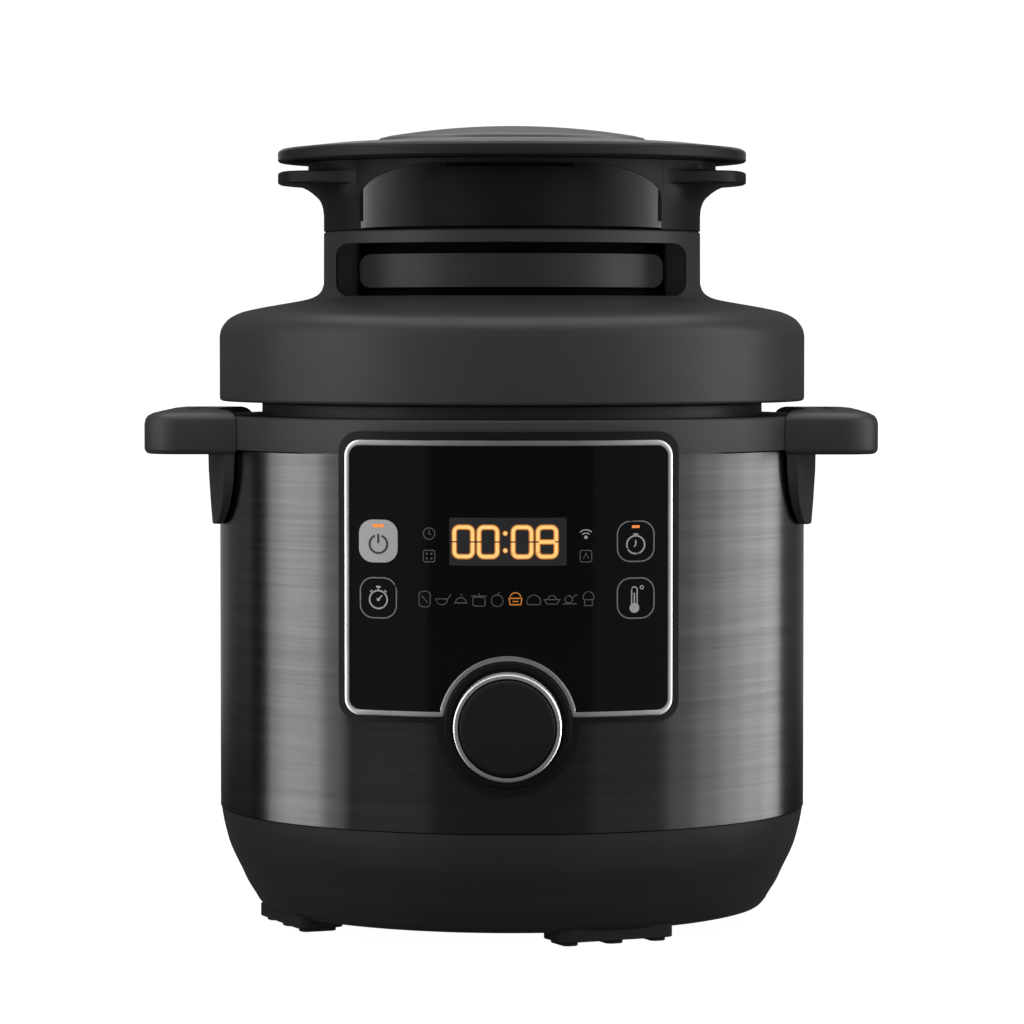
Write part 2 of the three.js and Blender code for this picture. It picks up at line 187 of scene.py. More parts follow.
BLACK_STEEL = brushed("black_steel", (0.051, 0.0512, 0.0518), (0.066, 0.0662, 0.067), 0.235, 0.265, aniso=0.8)
STEEL = brushed("satin_steel", (0.50, 0.50, 0.51), (0.64, 0.64, 0.65), 0.24, 0.34)
CAST = plastic("cast_aluminium", 0.5, 0.4, 0.5, 0.5, 900, 0.5)
CAST.node_tree.nodes["Principled BSDF"].inputs["Metallic"].default_value = 1.0

_c = Mat("chrome", (0.6, 0.6, 0.61), 0.3, 1.0)
_c.rough(_c.noise(60.0, 3.0), 0.26, 0.36)
_c.color(_c.noise(30.0), (0.57, 0.57, 0.58), (0.63, 0.63, 0.64))
CHROME = _c.m
_r = Mat("satin_ring", (0.75, 0.75, 0.76), 0.45, 1.0)
_r.rough(_r.noise(90.0, 3.0), 0.42, 0.5)
_r.color(_r.noise(30.0), (0.72, 0.72, 0.73), (0.78, 0.78, 0.79))
RING = _r.m

_g = Mat("gloss_lens", (0.0035, 0.0036, 0.004), 0.06)
_g.b.inputs["Specular IOR Level"].default_value = 0.17
_g.rough(_g.noise(25.0, 4.0), 0.05, 0.12)
_g.color(_g.noise(12.0), (0.0030, 0.0031, 0.0034), (0.0042, 0.0043, 0.0048))
LENS = _g.m

_d = Mat("display_window", (0.045, 0.047, 0.052), 0.12)
_d.color(_d.noise(60.0, 2.0), (0.040, 0.042, 0.047), (0.052, 0.053, 0.058))
_d.rough(_d.noise(80.0), 0.1, 0.2)
DISPLAY = _d.m


def glow(name, c0, c1, strength):
    m = Mat(name, c0, 0.4)
    r = m.color(m.noise(400.0, 2.0), c0, c1)
    m.l(r.outputs[0], m.b.inputs["Emission Color"])
    m.b.inputs["Emission Strength"].default_value = strength
    return m.m


AMBER = glow("amber_segments", (0.80, 0.43, 0.13), (0.84, 0.47, 0.16), 0.85)
AMBER_DIM = glow("amber_dark", (0.36, 0.12, 0.012), (0.42, 0.15, 0.018), 0.7)
ORANGE = glow("orange_lamp", (0.75, 0.20, 0.02), (0.85, 0.26, 0.04), 0.5)
PRINT = plastic("grey_print", 0.42, 0.5, 0.6)
OUTLINE = plastic("outline_print", 0.17, 0.5, 0.6)
PRINT_DIM = plastic("dim_print", 0.085, 0.5, 0.6)
PRINT_DARK = plastic("dark_print", 0.02, 0.5, 0.6)
# near-black used only as painted shade: dark sheets on the drum where the neck ring and the top plate shade it
PAINTED_SHADE_BLACK = plastic("painted_shade_black", 0.001, 0.7, 0.8, 0.05)

_s = Mat("smoked_cup", (0.05, 0.052, 0.055), 0.15)
_s.b.inputs["Transmission Weight"].default_value = 0.35
_s.b.inputs["IOR"].default_value = 1.49
_s.rough(_s.noise(50.0), 0.12, 0.22)
_s.color(_s.noise(20.0), (0.045, 0.047, 0.05), (0.06, 0.062, 0.066))
SMOKE = _s.m

_p = Mat("pot_coating", (0.03, 0.03, 0.032), 0.4)
_fl = _p.noise(900.0, 2.0)
_p.color(_fl, (0.022, 0.022, 0.024), (0.16, 0.16, 0.165), 0.62, 0.78)
_p.rough(_p.noise(60.0), 0.32, 0.45)
_p.bump(_fl, 0.1, 0.00005)
POT = _p.m

_b = Mat("circuit_green", (0.01, 0.08, 0.03), 0.4)
_b.color(_b.noise(500.0, 4.0), (0.008, 0.06, 0.022), (0.02, 0.12, 0.05))
_b.rough(_b.noise(200.0), 0.3, 0.5)
PCB = _b.m
RED = plastic("red_float", 0.2, 0.4, 0.5)
RED.node_tree.nodes["Color Ramp"].color_ramp.elements[0].color = (0.42, 0.03, 0.02, 1)
RED.node_tree.nodes["Color Ramp"].color_ramp.elements[1].color = (0.5, 0.045, 0.03, 1)
_f = Mat("floor_white", (0.86, 0.86, 0.86), 0.7)
_f.b.inputs["Specular IOR Level"].default_value = 0.1
_f.color(_f.noise(2.0), (0.855, 0.855, 0.855), (0.87, 0.87, 0.87))
FLOOR = _f.m

# ------------------------------------------------------------------ mesh helpers (all sizes in mm)


def obj_from(name, verts, faces, mat, body=None, reps=(), sharp=32, bevel=None, seg=2):
    me = bpy.data.meshes.new(name)
    me.from_pydata([(x * MM, y * MM, z * MM) for x, y, z in verts], [], faces)
    me.validate()
    bm = bmesh.new()
    bm.from_mesh(me)
    bmesh.ops.remove_doubles(bm, verts=bm.verts, dist=1e-7)
    bmesh.ops.recalc_face_normals(bm, faces=bm.faces)
    bm.to_mesh(me)
    bm.free()
    ob = bpy.data.objects.new(name, me)
    bpy.context.scene.collection.objects.link(ob)
    me.materials.append(mat)
    finish_shading(ob, sharp, bevel, seg)
    place(ob, body, reps)
    return ob


def finish_shading(ob, sharp=32, bevel=None, seg=2):
    me = ob.data
    me.polygons.foreach_set("use_smooth", [True] * len(me.polygons))
    me.set_sharp_from_angle(angle=math.radians(sharp))
    if bevel:
        md = ob.modifiers.new("edge", "BEVEL")
        md.width = bevel * MM
        md.segments = seg
        md.limit_method = "ANGLE"
        md.angle_limit = math.radians(40)
        md.harden_normals = True
        md.use_clamp_overlap = True


def place(ob, body, reps):
    if body:
        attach(ob, body)
    if reps:
        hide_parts(*reps)


def fillet(points, closed=True, n=4):
    """points are (r, z) or (r, z, radius); corners with a radius become arcs."""
    out, N = [], len(points)
    for i, p in enumerate(points):
        rad = p[2] if len(p) > 2 else 0
        if not rad or (not closed and i in (0, N - 1)):
            out.append((p[0], p[1]))
            continue
        a, b = Vector(points[i - 1][:2]), Vector(points[(i + 1) % N][:2])
        c = Vector(p[:2])
        u, v = (a - c).normalized(), (b - c).normalized()
        ang = math.acos(max(-1, min(1, u.dot(v))))
        if ang > PI - 0.05:
            out.append(tuple(c))
            continue
        d = min(rad / math.tan(ang / 2), (a - c).length * 0.49, (b - c).length * 0.49)
        rr = d * math.tan(ang / 2)
        mid = c + (u + v).normalized() * (rr / math.sin(ang / 2))
        s, e = c + u * d - mid, c + v * d - mid
        a0, a1 = math.atan2(s.y, s.x), math.atan2(e.y, e.x)
        da = (a1 - a0 + PI) % (2 * PI) - PI
        for k in range(n + 1):
            t = a0 + da * k / n
            out.append((mid.x + rr * math.cos(t), mid.y + rr * math.sin(t)))
    return out


def smooth_curve(pts, n=4):
    out = []
    P = [pts[0]] + list(pts) + [pts[-1]]
    for i in range(1, len(P) - 2):
        for k in range(n):
            t = k / n
            q = []
            for j in (0, 1):
                p0, p1, p2, p3 = P[i - 1][j], P[i][j], P[i + 1][j], P[i + 2][j]
                q.append(0.5 * (2 * p1 + (p2 - p0) * t + (2 * p0 - 5 * p1 + 4 * p2 - p3) * t * t + (3 * p1 - p0 - 3 * p2 + p3) * t ** 3))
            out.append(tuple(q))
    out.append(tuple(pts[-1][:2]))
    return out


def revolve(profile, seg=192, closed=True, a0=0.0, a1=2 * PI):
    """verts, faces of a revolved (r, z) profile about Z; part turns get end caps."""
    full = abs(a1 - a0 - 2 * PI) < 1e-6
    cols = seg if full else seg + 1
    verts, faces, n = [], [], len(profile)
    for c in range(cols):
        a = a0 + (a1 - a0) * c / seg
        for r, z in profile:
            verts.append((r * math.sin(a), -r * math.cos(a), z))
    for c in range(seg):
        d = (c + 1) % cols if full else c + 1
        for i in range(n if closed else n - 1):
            j = (i + 1) % n
            if profile[i][0] < 1e-6 and profile[j][0] < 1e-6:
                continue
            if profile[i][0] < 1e-6:
                faces.append((c * n + i, c * n + j, d * n + j))
            elif profile[j][0] < 1e-6:
                faces.append((c * n + i, c * n + j, d * n + i))
            else:
                faces.append((c * n + i, c * n + j, d * n + j, d * n + i))
    if not full:
        faces.append(tuple(range(n)))
        faces.append(tuple((cols - 1) * n + i for i in reversed(range(n))))
    return verts, faces


def turned(name, profile, mat, body, reps=(), seg=192, sharp=28, fil=True, n=4):
    prof = fillet(profile, True, n) if fil else [p[:2] for p in profile]
    v, f = revolve(prof, seg)
    return obj_from(name, v, f, mat, body, reps, sharp)


def turned_y(name, profile, x, z, mat, body, reps=(), seg=128, sharp=28, n=4):
    """profile is (r, y), turned about an axis along Y through (x, z)."""
    prof = fillet(profile, True, n)
    v, f = revolve(prof, seg)
    v = [(x + a, c, z + b) for a, b, c in v]
    return obj_from(name, v, f, mat, body, reps, sharp)


def rrect(w, h, r, cx=0.0, cy=0.0, n=8):
    pts = []
    for sx, sy, a in ((1, -1, -PI / 2), (1, 1, 0), (-1, 1, PI / 2), (-1, -1, PI)):
        for k in range(n + 1):
            t = a + PI / 2 * k / n
            pts.append((cx + sx * (w / 2 - r) + r * math.cos(t), cy + sy * (h / 2 - r) + r * math.sin(t)))
    return pts


def prism(outline, lo, hi, axis="Y"):
    """outline is (x, z) for axis Y, (x, y) for Z, (y, z) for X."""
    def at(a, b, d):
        return {"Y": (a, d, b), "Z": (a, b, d), "X": (d, a, b)}[axis]
    n = len(outline)
    verts = [at(a, b, lo) for a, b in outline] + [at(a, b, hi) for a, b in outline]
    faces = [tuple(range(n)), tuple(n + i for i in reversed(range(n)))]
    faces += [(i, (i + 1) % n, n + (i + 1) % n, n + i) for i in range(n)]
    return verts, faces


def raw(verts, faces, name="tmp"):
    me = bpy.data.meshes.new(name)
    me.from_pydata([(x * MM, y * MM, z * MM) for x, y, z in verts], [], faces)
    bm = bmesh.new()
    bm.from_mesh(me)
    bmesh.ops.remove_doubles(bm, verts=bm.verts, dist=1e-7)
    bmesh.ops.recalc_face_normals(bm, faces=bm.faces)
    bm.to_mesh(me)
    bm.free()
    ob = bpy.data.objects.new(name, me)
    bpy.context.scene.collection.objects.link(ob)
    return ob


def cut(ob, *ops):
    """ops are (operation, tool object); the tools are removed."""
    for op, tool in ops:
        md = ob.modifiers.new("b", "BOOLEAN")
        md.operation = op
        md.solver = "EXACT"
        md.object = tool
        dg = bpy.context.evaluated_depsgraph_get()
        dg.update()
        me = bpy.data.meshes.new_from_object(ob.evaluated_get(dg))
        ob.modifiers.remove(md)
        old = ob.data
        ob.data = me
        bpy.data.meshes.remove(old)
        tm = tool.data
        bpy.data.objects.remove(tool)
        bpy.data.meshes.remove(tm)
    return ob


def made(ob, name, mat, body=None, reps=(), sharp=32, bevel=None, seg=2):
    ob.name = name
    ob.data.name = name
    ob.data.materials.clear()
    ob.data.materials.append(mat)
    finish_shading(ob, sharp, bevel, seg)
    place(ob, body, reps)
    return ob


def ring(r0, r1, z0, z1, seg=256, a0=0.0, a1=2 * PI):
    return raw(*revolve([(r0, z0), (r1, z0), (r1, z1), (r0, z1)], seg, True, a0, a1))


def keep_node(name, mat, bevel=None):
    ob = NODES[name]
    ob.data.materials.clear()
    ob.data.materials.append(mat)
    if bevel:
        md = ob.modifiers.new("edge", "BEVEL")
        md.width = bevel * MM
        md.segments = 2
        md.limit_method = "ANGLE"
        md.angle_limit = math.radians(50)
    return ob

# ------------------------------------------------------------------ housing


bowl = smooth_curve([(121, 6.7), (123.5, 6.9), (126, 9.3), (128, 12.6), (132, 19.1), (135, 25.6), (138, 31.6), (140.5, 37.5), (142.2, 43.5), (143.6, 49.5), (144.6, 55.6)], 3)
b = raw(*revolve(bowl + [(141.6, 55.7), (139, 43.8), (135, 32.4), (129, 21), (125, 15), (121, 12.5)], 224))
cut(b, ("DIFFERENCE", raw(*prism(rrect(35, 27, 3, 0, 33), 120, 150))))
made(b, "base_bowl", BLACK_BASE, "housing", ["base_shell"], 30)

for i, az in enumerate((25, 115, 205, 293), 1):
    v, f = prism(rrect(60, 24, 5, 0, 0, 6), 2.0, 8.3, "Z")
    ob = raw(v, f)
    for x, w in ((0, 9), (-23, 8), (23, 8)):
        v, f = prism(rrect(w, 18, 3, x, 0, 5), 0.0, 2.6, "Z")
        cut(ob, ("UNION", raw(v, f)))
    a = math.radians(az)
    for vt in ob.data.vertices:
        x, y = vt.co.x, vt.co.y - 0.1115
        vt.co.x, vt.co.y = x * math.cos(a) - y * math.sin(a), x * math.sin(a) + y * math.cos(a)
    made(ob, f"foot_{i}", RUBBER, "housing", [f"rubber_foot_{i}"], 32, 0.7, 2)

turned("body_steel", [(144, 56.1), (145, 56.1), (145, 232.7), (144, 232.7)], BLACK_STEEL, "housing", ["steel_shell"], 256)
turned("upper_band", [(142.8, 233.2), (145.5, 233.2, 0.3), (145.5, 249.5, 1.6), (124, 249.5), (124, 255.5, 0.8), (121, 255.5, 0.8), (121, 247.7), (142.8, 247.7)],
       BLACK, "housing", ["upper_ring"], 256)


def side_handle(name, sign, node):
    XO, HY, HC = 179.0, 60.0, 18.0
    xc, yc = XO - HC, HY - HC
    plan = [(100, -HY)]
    for k in range(17):
        t = -PI / 2 + PI / 2 * k / 16
        plan.append((xc + HC * math.cos(t), -yc + HC * math.sin(t)))
    for k in range(17):
        t = PI / 2 * k / 16
        plan.append((xc + HC * math.cos(t), yc + HC * math.sin(t)))
    plan.append((100, HY))
    # stacked sections give the crowned, rounded block: (z, inset)
    levels = [(231.0, 2.4), (231.4, 1.3), (232.2, 0.5), (233.6, 0.0), (245.6, 0.0), (247.8, 0.5), (249.5, 1.6), (250.9, 4.2), (251.9, 8.2), (252.4, 13.0)]
    verts, faces, n = [], [], len(plan)
    for z, d in levels:
        for x, y in plan:
            if x > 100.5:
                cx, cy = (xc, -yc) if y < -yc else (xc, yc) if y > yc else (xc, y)
                vx, vy = x - cx, y - cy
                ln = math.hypot(vx, vy) or 1
                q = (ln - d) / ln
                verts.append((cx + vx * q, cy + vy * q, z))
            else:
                verts.append((x, y - math.copysign(d, y), z))
    for i in range(len(levels) - 1):
        for k in range(n):
            j = (k + 1) % n
            faces.append((i * n + k, i * n + j, (i + 1) * n + j, (i + 1) * n + k))
    faces += [tuple(reversed(range(n))), tuple((len(levels) - 1) * n + k for k in range(n))]
    ob = raw(verts, faces)
    # the apron wraps the body and tapers downwards
    ap = raw(*revolve([(138, 194), (148.6, 194), (149.6, 206), (150.6, 222), (150.8, 232.6), (138, 232.6)], 64, True, math.radians(62), math.radians(118)))
    side = smooth_curve([(-58, 233), (-57.4, 224), (-55.4, 215), (-51.6, 207.2), (-46, 201.2), (-39, 197.4), (-30, 196)], 4)
    side += [(-y, z) for y, z in reversed(side)]
    cut(ap, ("INTERSECT", raw(*prism(side, 100, 170, "X"))))
    cut(ob, ("UNION", ap))
    cut(ob, ("DIFFERENCE", raw(*revolve([(0, 170), (145.9, 170), (145.9, 262), (0, 262)], 256))))
    # small recess marks on the top face
    for y0 in (-24, 0, 24):
        v, f = prism(rrect(6, 14, 1.5, 156, y0, 4), 251.2, 256, "Z")
        cut(ob, ("DIFFERENCE", raw(v, f)))
    if sign < 0:
        for vt in ob.data.vertices:
            vt.co.x, vt.co.y = -vt.co.x, -vt.co.y
    return made(ob, name, BLACK, "housing", [node], 30, 0.8, 3)


side_handle("grip_right", 1, "side_handle_right")
side_handle("grip_left", -1, "side_handle_left")

turned("lock_ring_visual", [(118.5, 244.9, 0.4), (123.6, 244.9), (123.6, 232), (127, 232), (127, 247.3), (118.5, 247.3, 0.8)], STEEL, "housing", ["lock_ring"], 160)
turned("outer_pot", [(78, 44.6), (111.8, 44.6, 3), (114.8, 48.6, 3), (114.8, 230, 0.5), (127, 230), (127, 231.4), (113.5, 231.4, 0.6), (113.5, 49.5, 3), (111, 46, 3), (78, 46)],
       STEEL, "housing", ["pressure_housing"], 160)
turned("heater_top", [(16, 47), (75, 47, 1), (75, 54, 2), (70, 56.4), (16, 57, 0.6)], CAST, "housing", ["heating_plate"], 128)
turned("sensor_cap", [(0, 56.8), (13.4, 56.8, 1.2), (14, 48, 0.5), (5, 48), (5, 40), (0, 40)], CAST, "sensor", ["thermal_sensor"], 64)

# ------------------------------------------------------------------ control panel
KZ = 107.5
ARC_R = 31.1


def on(x, z, r):
    return (x, -math.sqrt(max(r * r - x * x, 0)), z)


def trim_path(half_w, z0, z1, rad, arc_r, nseg=10):
    """Panel outline as (x, z): a rounded rectangle whose bottom edge rises over the knob."""
    pts = []
    a_end = math.asin((z0 - KZ) / arc_r) if abs(z0 - KZ) < arc_r else 0
    for k in range(41):
        t = a_end + (PI - 2 * a_end) * k / 40
        pts.append((arc_r * math.cos(t), KZ + arc_r * math.sin(t)))
    pts.reverse()                                   # left end of the arc to the right end
    x0 = pts[-1][0]
    right = []
    for k in range(1, 12):
        right.append((x0 + (half_w - rad - x0) * k / 12, z0))
    for k in range(nseg + 1):
        t = -PI / 2 + PI / 2 * k / nseg
        right.append((half_w - rad + rad * math.cos(t), z0 + rad + rad * math.sin(t)))
    for k in range(1, 14):
        right.append((half_w, z0 + rad + (z1 - z0 - 2 * rad) * k / 14))
    for k in range(nseg + 1):
        t = PI / 2 * k / nseg
        right.append((half_w - rad + rad * math.cos(t), z1 - rad + rad * math.sin(t)))
    top = [((half_w - rad) * (1 - 2 * k / 40), z1) for k in range(1, 40)]
    left = [(-x, z) for x, z in reversed(right)]
    return pts + right + top + left


def sweep_on(path, r, half, height, name, mat, body, reps=(), sink=0.5, n=8):
    P = [Vector(on(x, z, r)) for x, z in path]
    N = len(P)
    verts, faces = [], []
    sec = [(-half, -sink)] + [(-half * math.cos(PI * k / n), height * math.sin(PI * k / n) ** 0.35 if 0 < k < n else 0.0) for k in range(n + 1)] + [(half, -sink)]
    for i, p in enumerate(P):
        t = (P[(i + 1) % N] - P[i - 1]).normalized()
        nrm = Vector((p.x, p.y, 0)).normalized()
        bt = t.cross(nrm).normalized()
        for b_, h_ in sec:
            q = p + bt * b_ + nrm * h_
            verts.append(tuple(q))
    m = len(sec)
    for i in range(N):
        j = (i + 1) % N
        for k in range(m):
            l = (k + 1) % m
            faces.append((i * m + k, i * m + l, j * m + l, j * m + k))
    return obj_from(name, verts, faces, mat, body, reps, 50)


SECT = (-math.radians(37), math.radians(37))


def curved(outline, r0, r1, holes=(), cyl_holes=()):
    zs = [z for _, z in outline]
    ob = ring(r0, r1, min(zs) - 5, max(zs) + 5, 220, *SECT)
    v, f = prism(outline, -170, -90)
    cut(ob, ("INTERSECT", raw(v, f)))
    for h in holes:
        v, f = prism(h, -170, -90)
        cut(ob, ("DIFFERENCE", raw(v, f)))
    return ob


def arc_outline(half_w, z0, z1, rad, arc_r):
    return trim_path(half_w, z0, z1, rad, arc_r)


# bezel: the dark frame outside the trim, with the knob lobe below
def bezel_outline(half_w, z0, z1, rad, lobe):
    pts = []
    a0 = math.asin((z0 - KZ) / lobe)
    for k in range(49):
        t = PI - a0 + (PI + 2 * a0) * k / 48
        pts.append((lobe * math.cos(t), KZ + lobe * math.sin(t)))
    for sx, sz, a in ((1, 0, -PI / 2), (1, 1, 0), (-1, 1, PI / 2), (-1, 0, PI)):
        cx, cz = sx * (half_w - rad), (z1 - rad if sz else z0 + rad)
        for k in range(11):
            t = a + PI / 2 * k / 10
            pts.append((cx + rad * math.cos(t), cz + rad * math.sin(t)))
    return pts


HW, PZ0, PZ1, PR = 75.6, 112.2, 238.8, 6.2
bz = curved(bezel_outline(80, 108, 244, 9.5, 33.6), 146.0, 148.4)
made(bz, "panel_bezel", BEZEL, "housing", ["panel_frame"], 34, 0.9, 3)
turned_y("knob_boss", [(3.8, -143.6), (29.6, -143.6), (29.6, -150.5, 0.6), (26.6, -150.5, 0.4), (26.2, -149.7, 0.2), (3.8, -149.7)], 0, KZ, BEZEL, "housing")
sweep_on(trim_path(HW, PZ0, PZ1, PR, ARC_R), 148.8, 1.3, 0.7, "panel_trim", CHROME, "housing", ["chrome_trim"], sink=0.6)
gl = curved(trim_path(HW - 0.8, PZ0 + 0.8, PZ1 - 0.8, PR - 0.8, ARC_R + 0.8), 148.1, 149.0)
made(gl, "panel_lens", LENS, "housing", ["panel_glass"], 34)

dw = curved(rrect(54.6, 22.3, 0.8, 0, 193.1), 148.6, 149.12)
made(dw, "display_glass", DISPLAY, "housing", ["display_module"], 34)


def ribbon(points, w, closed=False):
    """2D stroke to a quad strip outline list of (x, z) quads."""
    quads, n = [], len(points)
    P = [Vector(p) for p in points]
    L, R = [], []
    for i in range(n):
        a = P[i - 1] if (closed or i > 0) else P[i]
        c = P[(i + 1) % n] if (closed or i < n - 1) else P[i]
        d1 = (P[i] - a)
        d2 = (c - P[i])
        if d1.length < 1e-9:
            d1 = d2
        if d2.length < 1e-9:
            d2 = d1
        t = (d1.normalized() + d2.normalized())
        if t.length < 1e-6:
            t = d2
        t.normalize()
        nrm = Vector((-t.y, t.x))
        k = 1 / max(0.5, abs(nrm.dot(Vector((-d2.normalized().y, d2.normalized().x)))))
        L.append(P[i] + nrm * w / 2 * k)
        R.append(P[i] - nrm * w / 2 * k)
    for i in range(n if closed else n - 1):
        j = (i + 1) % n
        quads.append((L[i], L[j], R[j], R[i]))
    return quads


def arc_pts(cx, cz, r, a0=0, a1=360, n=20):
    return [(cx + r * math.cos(math.radians(a0 + (a1 - a0) * k / n)), cz + r * math.sin(math.radians(a0 + (a1 - a0) * k / n))) for k in range(n + 1)]


def circle(cx, cz, r, n=20):
    return arc_pts(cx, cz, r, 0, 360, n)[:-1]


def grow(strokes, polys, cx, cz, k):
    """Scale a small drawing about its centre."""
    f = lambda q: (cx + (q[0] - cx) * k, cz + (q[1] - cz) * k)
    return [([f(q) for q in pts], w, c) for pts, w, c in strokes], [[f(q) for q in p] for p in polys]


def prints(name, strokes, polys, r, mat, body, h=0.12):
    """Thin raised print on the curved panel: strokes are (points, width, closed), polys are outlines."""
    verts, faces = [], []

    def add(poly):
        n, s = len(poly), len(verts)
        for x, z in poly:
            verts.append(on(x, z, r))
        for x, z in poly:
            verts.append(on(x, z, r + h))
        faces.append(tuple(s + i for i in range(n)))
        faces.append(tuple(s + n + i for i in reversed(range(n))))
        for i in range(n):
            j = (i + 1) % n
            faces.append((s + i, s + j, s + n + j, s + n + i))
    for pts, w, closed in strokes:
        for q in ribbon(pts, w, closed):
            add([tuple(p) for p in q])
    for p in polys:
        add(p)
    return obj_from(name, verts, faces, mat, body, (), 30)


# seven-segment digits
def segments(cx, cz, w, h, t, lit):
    g = 0.32
    x0, x1, z0, z1, zm = cx - w / 2, cx + w / 2, cz - h / 2, cz + h / 2, cz
    k = t / 2

    def hor(z, inner=0):
        if inner:
            return [(x0 + k + g, z), (x0 + t + g, z + k), (x1 - t - g, z + k), (x1 - k - g, z), (x1 - t - g, z - k), (x0 + t + g, z - k)]
        s = 1 if z > cz else -1
        zz = z
        return [(x0 + 0.9 + g, zz), (x1 - 0.9 - g, zz), (x1 - t - g, zz - s * t), (x0 + t + g, zz - s * t)]

    def ver(x, up):
        s = 1 if x > cx else -1
        a, b_ = (zm + g, z1) if up else (z0, zm - g)
        if up:
            return [(x, b_ - 0.9 - g), (x - s * t, b_ - t - g), (x - s * t, a + k), (x - s * k, a), (x, a + 0.5)]
        return [(x, a + 0.9 + g), (x - s * t, a + t + g), (x - s * t, b_ - k), (x - s * k, b_), (x, b_ - 0.5)]
    table = {"a": hor(z1), "d": hor(z0), "g": hor(zm, 1), "f": ver(x0, 1), "b": ver(x1, 1), "e": ver(x0, 0), "c": ver(x1, 0)}
    return [table[c] for c in "abcdefg" if (c in lit)]


def digit(cx, cz, eight):
    """A rounded seven-segment figure: two half loops with a notch between them."""
    w, h, q, g = 8.5, 13.7, 2.3, 0.3
    x0, x1, z1 = cx - w / 2, cx + w / 2, cz + h / 2
    half = [(x0, cz + g)] + [(x0 + q - q * math.cos(PI / 2 * k / 6), z1 - q + q * math.sin(PI / 2 * k / 6)) for k in range(7)]
    half += [(x1 - q + q * math.sin(PI / 2 * k / 6), z1 - q + q * math.cos(PI / 2 * k / 6)) for k in range(7)] + [(x1, cz + g)]
    out = [half, [(x, 2 * cz - z) for x, z in half]]
    if eight:
        out.append([(x0 + 0.6, cz), (x1 - 0.6, cz)])
    return out


loops = []
for cx, eight in ((-20.1, False), (-8.6, False), (7.3, False), (18.8, True)):
    loops += digit(cx - 0.6, 193.0, eight)
prints("display_digit_edges", [(q, 2.6, False) for q in loops], [circle(-1.2, z, 1.3, 12) for z in (197.0, 189.0)], 149.12, AMBER_DIM, "housing", 0.05)
prints("display_digits", [(q, 1.5, False) for q in loops], [circle(-1.2, z, 0.9, 12) for z in (197.0, 189.0)], 149.14, AMBER, "housing", 0.08)

# status icons and programme row
SI = 149.02
st = []
st.append((circle(-36.8, 196.7, 2.7, 22), 0.45, True))
st.append(([(-36.8, 198.4), (-36.8, 196.7), (-35.7, 196.1)], 0.42, False))
st.append((rrect(5.4, 5.4, 0.9, -36.8, 186.2, 3), 0.42, True))
dots = [circle(-36.8 + dx, 186.2 + dz, 0.5, 8) for dx in (-1.1, 1.1) for dz in (-1.1, 1.1)]
st.append((rrect(5.4, 5.4, 0.9, 36.3, 186.2, 3), 0.42, True))
st.append(([(35.1, 184.9), (36.3, 187.7), (37.5, 184.9)], 0.4, False))
prints("status_icons", st, dots, SI, PRINT_DIM, "housing")
wf = [(arc_pts(36.3, 194.6, r, 45, 135, 10), 0.5, False) for r in (2.4, 3.9)]
prints("status_icons_lit", wf, [circle(36.3, 195.0, 0.85, 12)], SI, PRINT, "housing")

ROW = [-38.9 + 8.49 * i for i in range(10)]
RZ = 166.1


def icon(kind, cx, cz):
    s, p = [], []
    if kind == 0:      # covered dish on end
        s += [(rrect(4.6, 6.4, 1.6, cx, cz, 4), 0.42, True), ([(cx - 1.2, cz + 1.4), (cx + 1.2, cz - 1.4)], 0.4, False)]
    elif kind == 1:    # pan with a handle
        s += [(arc_pts(cx - 0.4, cz + 0.2, 2.4, 180, 360, 12), 0.42, False), ([(cx - 2.9, cz + 0.2), (cx + 2.1, cz + 0.2), (cx + 3.4, cz + 2.0)], 0.42, False)]
    elif kind == 2:    # steam over a bowl
        s += [([(cx - 2.8, cz - 1.4), (cx + 2.8, cz - 1.4)], 0.45, False), (arc_pts(cx, cz - 1.4, 2.2, 0, 180, 12), 0.42, False), ([(cx, cz + 1.4), (cx + 0.5, cz + 2.4)], 0.4, False)]
    elif kind == 3:    # pot
        s += [(rrect(5.0, 3.6, 0.8, cx, cz - 0.8, 3), 0.42, True), ([(cx - 3.2, cz + 1.5), (cx + 3.2, cz + 1.5)], 0.42, False), ([(cx, cz + 1.5), (cx, cz + 2.6)], 0.42, False)]
    elif kind == 4:    # round vegetable
        s += [(circle(cx, cz - 0.4, 2.4, 18), 0.42, True), ([(cx, cz + 2.0), (cx + 0.9, cz + 3.0)], 0.4, False)]
    elif kind == 5:    # lidded pot, lit
        s += [([(cx - 2.6, cz + 0.6), (cx - 2.2, cz - 2.0), (cx + 2.2, cz - 2.0), (cx + 2.6, cz + 0.6)], 0.55, True), (arc_pts(cx, cz + 0.6, 2.3, 15, 165, 10), 0.5, False), ([(cx - 1.2, cz - 0.7), (cx + 1.2, cz - 0.7)], 0.5, False)]
    elif kind == 6:    # loaf
        s += [(arc_pts(cx, cz - 0.9, 2.8, 0, 180, 14), 0.42, False), ([(cx - 2.8, cz - 0.9), (cx - 2.5, cz - 2.0), (cx + 2.5, cz - 2.0), (cx + 2.8, cz - 0.9)], 0.42, False)]
    elif kind == 7:    # flat dish
        s += [([(cx - 3.2, cz), (cx - 2.0, cz - 1.8), (cx + 2.0, cz - 1.8), (cx + 3.2, cz)], 0.42, True), (arc_pts(cx, cz, 1.7, 0, 180, 10), 0.42, False)]
    elif kind == 8:    # leg on a plate
        s += [([(cx - 3.0, cz - 1.8), (cx + 2.8, cz - 1.8)], 0.42, False), (circle(cx - 0.6, cz, 1.5, 14), 0.42, True), ([(cx + 0.7, cz + 0.7), (cx + 2.8, cz + 2.0)], 0.42, False)]
    else:              # cook's hat
        s += [([(cx - 1.6, cz - 2.6), (cx + 1.6, cz - 2.6), (cx + 1.6, cz - 0.2), (cx - 1.6, cz - 0.2)], 0.42, True), (arc_pts(cx, cz + 0.9, 2.2, -30, 210, 14), 0.42, False)]
    return s, p


